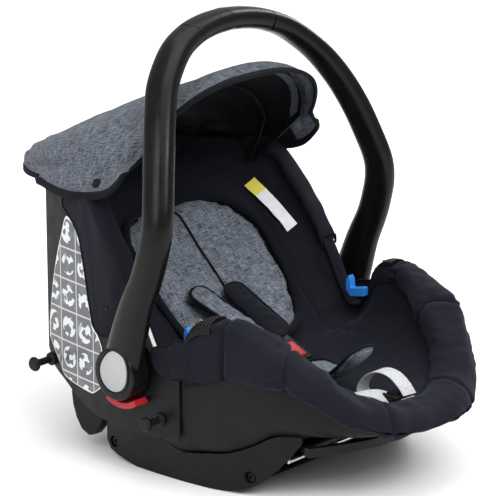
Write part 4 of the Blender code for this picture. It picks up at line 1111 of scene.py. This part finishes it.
def make_shoulder_pads(insert_tree, cover_tree):
    """Two padded sleeves on the shoulder straps, bound along their sides, and the straps."""
    def broad_top(x, y):
        return max(height_on(tree, x + a, y + b) for tree in (insert_tree, cover_tree)
                   for a in (-0.013, 0, 0.013) for b in (-0.006, 0.006))

    def change(p, n):
        ribs = np.sin(p[:, 1] * 520 + p[:, 0] * 120)
        return p + n * (field(p, 61, 0.028) * 0.0006 + ribs * 0.0004)[:, None]

    for side in (-1, 1):
        word = side_word(side)
        (sx, sy), end = PAD_ENDS[side]
        first = broad_top(sx, sy) + 0.0078
        line = []
        for t in np.linspace(0, 1, 34):
            x, y = sx + (end[0] - sx) * t, sy + (end[1] - sy) * t
            z = first + (end[2] - first) * t
            line.append((x, y, max(z, broad_top(x, y) + 0.0068)))
        line = np.array(line)
        line[:, 2] = averaged(line[:, 2], 3)
        grid = pad_grid(line, PAD_WIDE, PAD_THICK, twist=0.10 * side)
        pad = grid_object("shoulder_pad_cloth" + word, grid)
        soften(pad, 0.0030, 0.0030, change, ((0.9, 0.3, 0), (0, 0.93, 0.36)),
               GREY_PAD if side < 0 else NAVY, "shoulder_pad" + word)
        bind_pad("shoulder_pad_cloth" + word + "_binding", grid, 150, 0.0021)
        tx, ty = STRAP_TOPS[side]
        above = [(tx, y, height_on(cover_tree, tx, y) + lift)
                 for y, lift in ((ty, 0.0022), (ty - 0.016, 0.0030))]
        under = [tuple(p - np.array([0, 0, 0.0080])) for p in line[4:-3:6]]
        tip = [(side * 0.0135, -0.0400, 0.1420)]
        strap = resample(catmull(above + under + tip, 6, False), 60)
        webbing = grid_object("shoulder_webbing" + word, strap_grid(strap, 0.028, 0.0016))
        dress(webbing, WEBBING, nodes=["shoulder_strap" + word])


CROTCH_LINE = ((-0.095, 0.1225), (-0.112, 0.1180), (-0.128, 0.1158), (-0.145, 0.1195),
               (-0.164, 0.1345), (-0.188, 0.1610))
CROTCH_STRAP = ((-0.119, 0.0015), (-0.110, 0.006), (-0.099, 0.012), (-0.090, 0.017))
PULL_LINE = ((-0.250, 0.1120), (-0.236, 0.1125), (-0.205, 0.1040), (-0.185, 0.1010),
             (-0.1770, 0.1050), (-0.1790, 0.1160), (-0.190, 0.1290), (-0.207, 0.1370),
             (-0.226, 0.1360), (-0.242, 0.1270), (-0.252, 0.1170))


def make_crotch_pad(cover_tree):
    """Padded sleeve on the crotch strap, and the strap's run from the cover into it."""
    line = resample(catmull([(0, y, z) for y, z in CROTCH_LINE], 6, False), 40)
    grid = pad_grid(line, 0.048, 0.0078, fold=0.004, taper=0.016)
    pad = grid_object("crotch_pad_cloth", grid)
    soften(pad, 0.0030, 0.0025, lambda p, n: p + n * (field(p, 71, 0.03) * 0.0005)[:, None],
           ((1, 0, 0), (0, 0.8, 0.6)), GREY_PAD, "crotch_pad")
    bind_pad("crotch_pad_binding", grid, 140, 0.0020)
    seat = height_on(cover_tree, 0, -0.116)
    strap = catmull([(0, y, seat + lift) for y, lift in CROTCH_STRAP], 8, False)
    dress(grid_object("crotch_webbing", strap_grid(strap, 0.026, 0.0018)), WEBBING)


def make_pull_strap():
    """White pull strap: flat along the seat, then a loop back over itself into the adjuster."""
    line = resample(catmull([(0.003, y, z) for y, z in PULL_LINE], 8, False), 90)
    line[:, 0] += 0.004 * np.sin(np.linspace(0, math.pi, 90))
    obj = grid_object("pull_strap_webbing", strap_grid(line, 0.023, 0.0014, turning=True))
    dress(obj, WHITE_WEB, nodes=["pull_strap"])


TAIL_LINE = ((-0.0060, -0.2360, 0.0040), (-0.0150, -0.2300, 0.0110), (-0.0270, -0.2215, 0.0170),
             (-0.0370, -0.2120, 0.0180), (-0.0440, -0.2030, 0.0150))


def make_strap_tail(cover_tree):
    """Free end of the pull strap, lying out of the adjuster over the cover."""
    points = [(x, y, height_on(cover_tree, x, y) + lift) for x, y, lift in TAIL_LINE]
    line = resample(catmull(points, 8, False), 40)
    obj = grid_object("pull_strap_tail", strap_grid(line, 0.020, 0.0014))
    dress(obj, WHITE_WEB)


# ---------------------------------------------------------------- handle

HANDLE_PATH = ((0.2100, 0.0200, 0.1370), (0.2100, -0.0040, 0.2150), (0.2095, -0.0220, 0.2570),
               (0.2085, -0.0310, 0.2850), (0.2065, -0.0368, 0.3120), (0.2020, -0.0362, 0.3380),
               (0.1910, -0.0270, 0.3740), (0.1780, -0.0160, 0.4100), (0.1615, -0.0020, 0.4450),
               (0.1390, 0.0140, 0.4780), (0.1030, 0.0290, 0.5085), (0.0680, 0.0370, 0.5240),
               (0.0340, 0.0410, 0.5312), (0.0, 0.0420, 0.5340))
SEAM_INDEX = 11
HANDLE_FORE_AFT, HANDLE_ACROSS = 0.0210, 0.0135
HUB_IN, HUB_OUT, HUB_RADIUS, HUB_ROUND = 0.1954, 0.2225, 0.0325, 0.0025


def handle_grid(points, around=48):
    """Oval rings square to the path."""
    along = unit(np.gradient(points, axis=0))
    fore = unit(np.array([0, 1.0, 0]) - along * along[:, 1:2])
    u, v = squared_ring((np.arange(around) + 0.5) * TAU / around, 0.85, 0.85)
    return swept(points, fore, np.cross(along, fore), HANDLE_FORE_AFT * u, HANDLE_ACROSS * v)


def disc_x(name, y, z, radius, x_in, x_out, side):
    """Disc with a rounded outer edge, whose axis lies along X."""
    steps = [(radius, x_in)]
    for b in np.linspace(0, math.pi / 2, 7):
        steps.append((radius - HUB_ROUND * (1 - math.cos(b)),
                      x_out - HUB_ROUND + HUB_ROUND * math.sin(b)))
    rows = [[(side * x, y + r * math.cos(t), z + r * math.sin(t)) for t in np.arange(64) * TAU / 64]
            for r, x in steps]
    return grid_object(name, np.array(rows), angle=50)


def make_handle():
    """Carry handle: two moulded legs with hub discs, and the grip between them."""
    path = catmull(HANDLE_PATH, 10, False)
    path = np.vstack([path, path[-2:-1] * np.array([-1, 1, 1])])
    rings = handle_grid(path)[:-1]
    seam = SEAM_INDEX * 10
    for side in (-1, 1):
        word = side_word(side)
        leg = rings[:seam + 1].copy()
        share = smooth01((0.262 - path[:seam + 1, 2]) / 0.10)[:, None]
        middle = path[:seam + 1, None]
        leg[..., 1] = middle[..., 1] + (leg[..., 1] - middle[..., 1]) * (1 + 0.30 * share)
        end = leg[-1].mean(axis=0)
        leg = np.concatenate([leg, end + (leg[-1:] - end) * 0.93], axis=0)
        piece = grid_object("handle_leg_form" + word, leg * np.array([side, 1, 1]), angle=50)
        dress(piece, HANDLE, "handle", nodes=["handle_leg" + word])
        hub = disc_x("handle_hub" + word, PIVOT_Y, PIVOT_Z, HUB_RADIUS, HUB_IN, HUB_OUT, side)
        dress(hub, HANDLE, "handle")
    step = unit(path[seam + 1] - path[seam])
    first = rings[seam] + step * 0.0012
    middle = first.mean(axis=0)
    half = [[middle + (first - middle) * 0.95], [first + step * 0.001], rings[seam + 1:]]
    half = np.concatenate(half)
    grip = np.concatenate([half, half[:-1][::-1] * np.array([-1, 1, 1])])
    obj = grid_object("handle_grip_form", grip, angle=50)
    dress(obj, HANDLE, "handle", nodes=["handle_grip"])


# ------------------------------------------------------------ labels, badges, snaps and small trims

LABEL_DARK = (0.075, 0.075, 0.082)
LABEL_CELL = (0.034, 0.040)
LABEL_ORIGIN = (0.094, 0.100)


def label_material():
    """Printed film: dark cells with plain pale picture shapes, and a pale border."""
    made, tree, shader = start_material("label_print", LABEL_DARK, 0.35, Coat_Weight=0.25)
    vector = add(tree, "ShaderNodeUVMap", {"uv_map": "weave"}).outputs[0]
    parts = add(tree, "ShaderNodeSeparateXYZ", None, Vector=vector)
    edge = add(tree, "ShaderNodeUVMap", {"uv_map": "edge"}).outputs[0]
    rim = add(tree, "ShaderNodeSeparateXYZ", None, Vector=edge)
    lines, squares = [], []
    for axis, size in enumerate(LABEL_CELL):
        place = math_node(tree, "FRACT", math_node(tree, "DIVIDE", parts.outputs[axis], size))
        away = math_node(tree, "ABSOLUTE", math_node(tree, "SUBTRACT", place, 0.5))
        lines.append(math_node(tree, "GREATER_THAN", away, 0.474))
        squares.append(math_node(tree, "POWER", times(tree, away, size / LABEL_CELL[0]), 2.0))
    inside = math_node(tree, "LESS_THAN", math_node(tree, "SQRT", plus(tree, *squares)), 0.40)
    shape = math_node(tree, "GREATER_THAN", noise_at(tree, vector, 85.0, 1.0), 0.50)
    tone = noise_at(tree, vector, 48.0, 0.0)
    patch = math_node(tree, "GREATER_THAN", tone, 0.60)
    ground = mix_colour(tree, patch, LABEL_DARK, (0.10, 0.105, 0.12))
    pale = mix_colour(tree, math_node(tree, "GREATER_THAN", tone, 0.63), (0.62, 0.64, 0.66),
                      (0.32, 0.40, 0.43))
    inner = mix_colour(tree, times(tree, inside, shape), ground, pale)
    lined = mix_colour(tree, math_node(tree, "MAXIMUM", *lines), inner, (0.46, 0.47, 0.48))
    border = math_node(tree, "GREATER_THAN", rim.outputs[0], 0.5)
    tint(tree, shader, border, lined, (0.66, 0.67, 0.68))
    bump(tree, shader, noise_at(tree, vector, 300.0), 0.00003, 0.3)
    return made


LABEL_START, LABEL_END = 0.0765, 0.1900
LABEL_LOW = ((0.0765, 0.1010), (0.0854, 0.0930), (0.0994, 0.0855), (0.1300, 0.0880),
             (0.1556, 0.0930), (0.1689, 0.1090), (0.1850, 0.1280), (0.1900, 0.1360))
LABEL_HIGH = ((0.0765, 0.1500), (0.0860, 0.1650), (0.0970, 0.1745), (0.1055, 0.2291),
              (0.1198, 0.2765), (0.1325, 0.2964), (0.1460, 0.3010), (0.1605, 0.2710),
              (0.1800, 0.2110), (0.1900, 0.1560))


def make_label(side, print_material):
    """Film with plain pictograms on the outer face of a side panel."""
    grid, rim = [], []
    for y in np.linspace(LABEL_START, LABEL_END, 90):
        low, high = curve_value(LABEL_LOW, y), curve_value(LABEL_HIGH, y)
        x = side * (panel_x(y) + 0.0009)
        for z in low + (high - low) * np.linspace(0, 1, 90):
            grid.append((x, y, z))
            near = min(z - low, (high - z) * 0.45, y - LABEL_START, LABEL_END - y)
            rim.append((1.0 if near < 0.0016 else 0.0, 0.0))
    grid = np.array(grid).reshape(90, 90, 3)
    back = grid - np.array([side * 0.00035, 0, 0])
    obj = two_sided("panel_label" + side_word(side), grid, back, grid[..., 1:] - LABEL_ORIGIN)
    write_uv(obj.data, "edge", rim + rim)
    dress(obj, print_material)


def turned(name, place, normal, profile, around=32):
    """Solid of revolution about a normal: profile is (radius, height) from the foot to the top."""
    n = unit(np.array(normal, float))
    a = unit(np.cross(n, [0, 0, 1.0]))
    b = np.cross(n, a)
    t = np.arange(around)[:, None] * TAU / around
    rows = [np.array(place) + n * h + (np.cos(t) * a + np.sin(t) * b) * max(r, 0.00005)
            for r, h in profile]
    return grid_object(name, np.array(rows), angle=40)


SNAP_PROFILE = ((0.0062, -0.0006), (0.0064, 0.0006), (0.0058, 0.0014), (0.0046, 0.0015),
                (0.0042, 0.0009), (0.0034, 0.0009), (0.0030, 0.0019), (0.0018, 0.0023),
                (0.0, 0.0024))
SCREW_PROFILE = ((0.0042, -0.0006), (0.0042, 0.0006), (0.0034, 0.0014), (0.0016, 0.0016),
                 (0.0014, 0.0008), (0.0, 0.0008))
BADGE_PROFILE = ((1.0, -0.0005), (1.0, 0.0007), (0.96, 0.0012), (0.70, 0.0018), (0.35, 0.0022),
                 (0.02, 0.0023))


def make_snaps(canopy_grid, canopy_normal):
    """Press studs on the wing flaps, the armrest cloths and the canopy's sides."""
    for side in (-1, 1):
        word = side_word(side)
        spot = (side * (panel_x(0.063) + 0.0024), 0.063, 0.203)
        dress(turned("wing_snap" + word, spot, (side, 0, 0), SNAP_PROFILE), TRIM)
        spot = (side * (panel_x(-0.048) + ARM_THICK * 0.94), -0.048, 0.1480)
        dress(turned("arm_snap" + word, spot, (side, 0.0, -0.2), SNAP_PROFILE), TRIM)
        points = canopy_grid.reshape(-1, 3)
        away = np.linalg.norm(points - np.array([side * 0.176, 0.094, 0.3530]), axis=1)
        k = int(np.argmin(away))
        normal = canopy_normal.reshape(-1, 3)[k]
        snap = turned("canopy_snap" + word, points[k], normal, SNAP_PROFILE)
        snap.data.materials.append(TRIM)
        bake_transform(snap)


def make_badges():
    """Plain teardrop badge in the face of each hub, with a raised rim round it."""
    t = np.linspace(0, TAU, 65)[:-1]
    radius = 0.0220 + 0.0080 * np.clip(np.cos(t - 1.9), 0, 1) ** 3

    def ring_at(side, lift, radii):
        out, middle_z = side * (HUB_OUT + lift), PIVOT_Z + 0.001
        return [(out, PIVOT_Y + r * math.cos(a), middle_z + r * math.sin(a))
                for a, r in zip(t, radii)]

    for side in (-1, 1):
        word = side_word(side)
        rows = np.array([ring_at(side, lift, radius * share) for share, lift in BADGE_PROFILE])
        badge = grid_object("hub_badge" + word, rows, angle=45)
        dress(badge, SILVER, "handle")
        ring = ring_at(side, 0.0004, radius + 0.0022)
        rim = tube("hub_badge_rim" + word, ring, 0.0013, closed=True, up=(side, 0, 0))
        dress(rim, TRIM, "handle")


def tag_material():
    """White ribbon cloth with one yellow end."""
    made, tree, shader = start_material("tag_cloth", (0.85, 0.86, 0.87), 0.7)
    vector = coordinates(tree, "UV")
    parts = add(tree, "ShaderNodeSeparateXYZ", None, Vector=vector)
    yellow = math_node(tree, "LESS_THAN", parts.outputs[0], TAG_YELLOW)
    soft = ramp(tree, noise_at(tree, vector, 120.0), 0.3, 0.7)
    white = mix_colour(tree, soft, (0.74, 0.76, 0.79), (0.86, 0.87, 0.88))
    tint(tree, shader, yellow, white, (0.78, 0.70, 0.10))
    bump(tree, shader, weave_height(tree, vector, 0.0007), 0.0002, 0.5)
    return made


TAG_WIDE = 0.0175
TAG_YELLOW = 0.022
TAG_FACING = np.array([-1.0, 0, 0.4])
TAG_ENDS = ((0.1335, 0.1240, 0.004), (0.1510, 0.0620, -0.054))


def make_tag(cover_tree):
    """Blank care tag sewn to the lining beside the insert, curling a little off it."""
    rows, cols = 30, 9
    top_z = height_on(cover_tree, *TAG_ENDS[0][:2])
    first, last = (np.array([x, y, top_z + lift]) for x, y, lift in TAG_ENDS)
    along = unit(last - first)
    top = np.zeros((rows, cols, 3))
    for i, t in enumerate(np.arange(rows) / (rows - 1)):
        place = first + (last - first) * t
        normal = facing(nearest_on(cover_tree, place)[1], TAG_FACING)
        across = unit(np.cross(normal, along))
        for j, w in enumerate(np.arange(cols) / (cols - 1) - 0.5):
            close = nearest_on(cover_tree, place + across * w * TAG_WIDE)[0]
            lift = 0.0022 + 0.0035 * math.sin(math.pi * t) + 0.0012 * math.cos(math.pi * w) * t
            top[i, j] = close + normal * lift
    for j in range(cols):
        for axis in range(3):
            top[:, j, axis] = averaged(top[:, j, axis], 2)
    n = facing(grid_normals(top, False), TAG_FACING)
    obj = grid_object("care_tag", np.concatenate([top, (top - n * 0.0004)[:, ::-1]], axis=1))
    dress(obj, tag_material())


ARM_START, ARM_END = -0.0740, -0.0130
ARM_LOW = ((-0.074, 0.1460), (-0.060, 0.1405), (-0.045, 0.1368), (-0.033, 0.1372), (-0.022, 0.1430),
           (-0.013, 0.1540))
ARM_HIGH = ((-0.074, 0.1780), (-0.062, 0.1870), (-0.050, 0.1860), (-0.038, 0.1760),
            (-0.025, 0.1740), (-0.013, 0.1690))
ARM_THICK = 0.0056
ARM_COLS = 22


def make_arm_cloth(side):
    """Padded cloth outside an armrest, round the belt notch, with a seam and a binding."""
    rows = []
    for y in np.linspace(ARM_START, ARM_END, 60):
        low, high = curve_value(ARM_LOW, y), curve_value(ARM_HIGH, y)
        skin = panel_x(y) + 0.0007
        near_end = min(1.0, min(y - ARM_START + 0.001, ARM_END + 0.001 - y) / 0.010)
        thick = ARM_THICK * near_end ** 0.5
        ring = []
        for t in np.linspace(0, 1, ARM_COLS):
            swell = max(0.0, 1 - abs(2 * t - 1) ** 4) ** 0.5
            seam = 0.0011 * float(gather(t, 0.58, 0.035))
            x = side * (skin + 0.0004 + thick * swell - seam * swell)
            ring.append((x, y, low + (high - low) * t))
        back_x = side * (skin - 0.0001)
        rows.append(ring + [(back_x, y, high - 0.0008), (back_x, y, low + 0.0008)])
    grid = np.array(rows)
    wave = field(grid, 81 + side, 0.030, (0.7, 0.7, 1.5)) * 0.0007
    grid[:, :ARM_COLS, 0] += side * np.clip(wave, 0, None)[:, :ARM_COLS]
    name = "arm_cloth" + side_word(side)
    cloth = dress(grid_object(name, grid), NAVY)
    outline = np.vstack([grid[:, 0], grid[-1, 1:21], grid[::-1, 21], grid[0, 20:0:-1]])
    bind(name + "_binding", resample(outline, 150, closed=True), 0.0015, closed=True,
         up=(side, 0, 0))


NOTCH_START, NOTCH_END = -0.062, 0.026


def make_notch_cloth():
    """Folded edge of the cover along the belt notch of the right armrest, over the liner's rim."""
    line = [(plan_x(y) - 0.0095, y, curve_value(RIM, y) + 0.0016)
            for y in np.linspace(NOTCH_START, NOTCH_END, 60)]
    edge = tube("notch_edge_cloth", line, 0.0030, 14, flatten=3.4, up=(1, 0, 0))
    dress(edge, NAVY)


PLATE_START, PLATE_END = -0.1010, -0.0420
PLATE_ROWS, PLATE_RIBS, PLATE_SCREW_Y = 170, 13, -0.0760
PLATE_PROFILE = ((0.0098, 0.0125), (0.0076, 0.0080), (0.0035, 0.0035), (-0.0030, 0.0008),
                 (-0.0130, 0.0), (-0.0200, 0.0022))


def make_slot_plates():
    """Ribbed plate that lines the belt notch on each armrest, with its screw."""
    for side in (-1, 1):
        word = side_word(side)
        rows = []
        for t in np.arange(PLATE_ROWS) / (PLATE_ROWS - 1):
            y = PLATE_START + (PLATE_END - PLATE_START) * t
            step_up = 0.0022 + 0.0092 * float(smooth01((-0.054 - y) / 0.010))
            z = curve_value(RIM, y) + step_up
            top = z + 0.0014 + 0.0012 * (0.5 + 0.5 * math.cos(TAU * t * PLATE_RIBS))
            x = plan_x(y)
            rows.append([(side * (x + reach), y, top - drop) for reach, drop in PLATE_PROFILE]
                        + [(side * (x + reach), y, z - drop - 0.003)
                           for reach, drop in PLATE_PROFILE[::-1]])
        dress(grid_object("belt_slot_plate" + word, np.array(rows), angle=50), TRIM)
        y = PLATE_SCREW_Y
        spot = (side * (plan_x(y) - 0.0060), y, curve_value(RIM, y) + 0.0135)
        screw = turned("slot_plate_screw" + word, spot, (side * 0.25, 0.2, 0.94), SCREW_PROFILE, 20)
        dress(screw, STEEL)


# ---------------------------------------------------------------- camera, floor and light

CAMERA_AZIMUTH, CAMERA_ELEVATION = -48.0, 15.72072
CAMERA_PLACE = (-2.2647, -2.0349, 1.1085)
LENS_MM, SENSOR_MM = 185.33, 36.0
FLOOR_SIZE, CLIP_END = 60.0, 60
SUN_POWER, SUN_ANGLE = 2.1, 1.4
SUN_TOWARDS = (0.25, 0.30, -0.92)
WORLD_STRENGTH = 0.42
LIGHT_TARGET = (0, 0, 0.22)
AREA_LIGHTS = (("key", (-0.6, -2.4, 2.3), (1.6, 1.2), 44),
               ("side", (-2.6, 0.9, 1.5), (1.2, 1.6), 24),
               ("top", (0.4, 0.3, 2.6), (2.2, 2.2), 22),
               ("rim", (2.2, 0.6, 1.6), (0.7, 1.6), 18))


def aim(obj, place, direction):
    """Puts a camera or lamp at a place, looking along a direction."""
    obj.location = place
    obj.rotation_mode = "QUATERNION"
    obj.rotation_quaternion = direction.to_track_quat("-Z", "Y")
    return obj


def make_camera():
    """Camera at the photo's angle."""
    data = bpy.data.cameras.new("photo_camera")
    data.lens = LENS_MM
    data.sensor_width = SENSOR_MM
    data.clip_end = CLIP_END
    a, e = math.radians(CAMERA_AZIMUTH), math.radians(CAMERA_ELEVATION)
    back = Vector((math.sin(a) * math.cos(e), -math.cos(a) * math.cos(e), math.sin(e)))
    x, y, z = CAMERA_PLACE
    bpy.context.scene.camera = aim(link("photo_camera", data), (x, y + ROOT_Y, z), -back)


def make_floor():
    """Pale matt floor, just under the seat."""
    half = FLOOR_SIZE / 2
    mesh = bpy.data.meshes.new("floor")
    corners = [(-half, -half, 0), (half, -half, 0), (half, half, 0), (-half, half, 0)]
    mesh.from_pydata(corners, [], [(0, 1, 2, 3)])
    floor = link("floor", mesh)
    floor.location.z = -0.0004
    made, tree, shader = start_material("pale_floor", (0.90, 0.90, 0.90), 0.75,
                                        Specular_IOR_Level=0.1)
    tone = ramp(tree, noise_at(tree, coordinates(tree, "Object"), 1.5), 0.2, 0.8)
    tint(tree, shader, tone, (0.895, 0.895, 0.895), (0.905, 0.905, 0.905))
    mesh.materials.append(made)


def make_light():
    """Even pale surroundings, one broad sun and four large lamps."""
    world = bpy.data.worlds.new("studio")
    bpy.context.scene.world = world
    world.use_nodes = True
    background = world.node_tree.nodes["Background"]
    background.inputs["Color"].default_value = (1.0, 1.0, 1.0, 1)
    background.inputs["Strength"].default_value = WORLD_STRENGTH
    sun = bpy.data.lights.new("soft_sun", "SUN")
    sun.energy = SUN_POWER
    sun.angle = SUN_ANGLE
    aim(link("soft_sun", sun), (0, 0, 0), Vector(SUN_TOWARDS))
    for name, place, size, power in AREA_LIGHTS:
        data = bpy.data.lights.new(name, "AREA")
        data.shape = "RECTANGLE"
        data.size, data.size_y = size
        data.energy = power
        aim(link(name, data), place, Vector(LIGHT_TARGET) - Vector(place))
    bpy.context.scene.view_settings.view_transform = "Standard"


# ---------------------------------------------------------------- the whole seat

# Node, finish, edge width and edge segments of the pieces on both sides.
SIDE_PARTS = (("side_panel", SHELL, 0.0016, 3), ("rocker", SHELL, 0.0018, 3),
              ("rear_foot", SHELL, 0.0012, 2), ("rear_adapter_pin", TRIM, 0.0010, 2),
              ("front_adapter_pin", TRIM, 0.0010, 2), ("hub_boss", TRIM, 0.0010, 2),
              ("belt_guide", BLUE, 0.0014, 3), ("buckle_tongue", TRIM, 0.0006, 2),
              ("release_button", RED, 0.0012, 3), ("canopy_hinge_pin", TRIM, 0.0008, 2))
# Node, finish, body, edge width and edge segments of the single pieces.
MIDDLE_PARTS = (("base_pan", SHELL, "seat", 0.0008, 2), ("front_rod", STEEL, "seat", 0.0, 2),
                ("front_cross_bar", TRIM, "seat", 0.0, 2), ("front_lip", TRIM, "seat", 0.0012, 2),
                ("canopy_front_bow", TRIM, "canopy_front", 0.0006, 2),
                ("canopy_middle_bow", TRIM, "canopy_middle", 0.0006, 2),
                ("splitter_plate", STEEL, "seat", 0.0005, 2))
BUCKLE_PARTS = (("buckle_body", TRIM, "seat", 0.0040, 4),
                ("buckle_button", RED, "buckle_press", 0.0022, 4),
                ("adjuster_housing", TRIM, "seat", 0.0028, 3),
                ("adjuster_button", TRIM, "adjuster_press", 0.0012, 3))


def make_hard_parts():
    """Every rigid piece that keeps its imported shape, with softened edges."""
    for word in ("_left", "_right"):
        for node, finish, width, segments in SIDE_PARTS:
            body = "release" + word if node == "release_button" else "seat"
            polished(node + word, finish, body, width, segments)
        for node in ("pivot_pin", "release_spring", "lock_ring"):
            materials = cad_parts[node + word].data.materials
            materials.clear()
            materials.append(STEEL)
    for number in range(1, 5):
        polished("base_screw_%d" % number, TRIM, width=0.0004)
    for node, finish, body, width, segments in MIDDLE_PARTS:
        polished(node, finish, body, width, segments)


def main():
    """Builds everything, in an order that lets each piece rest on the one before it."""
    make_camera()
    make_floor()
    make_light()
    make_hard_parts()
    make_shell()
    make_foam()
    cover_tree = make_cover()
    make_foot_cover(cover_tree)
    for side in (-1, 1):
        make_wing_flap(side, cover_tree)
    canopy_grid, canopy_normal = dress_canopy()
    insert_tree = make_insert(cover_tree)
    make_shoulder_pads(insert_tree, cover_tree)
    make_crotch_pad(cover_tree)
    make_pull_strap()
    make_strap_tail(cover_tree)
    make_handle()
    for node, finish, body, width, segments in BUCKLE_PARTS:
        polished(node, finish, body, width, segments)
    print_material = label_material()
    for side in (-1, 1):
        make_label(side, print_material)
    make_snaps(canopy_grid, canopy_normal)
    make_badges()
    make_tag(cover_tree)
    make_slot_plates()
    for side in (-1, 1):
        make_arm_cloth(side)
    make_notch_cloth()


main()
bpy.context.view_layer.update()
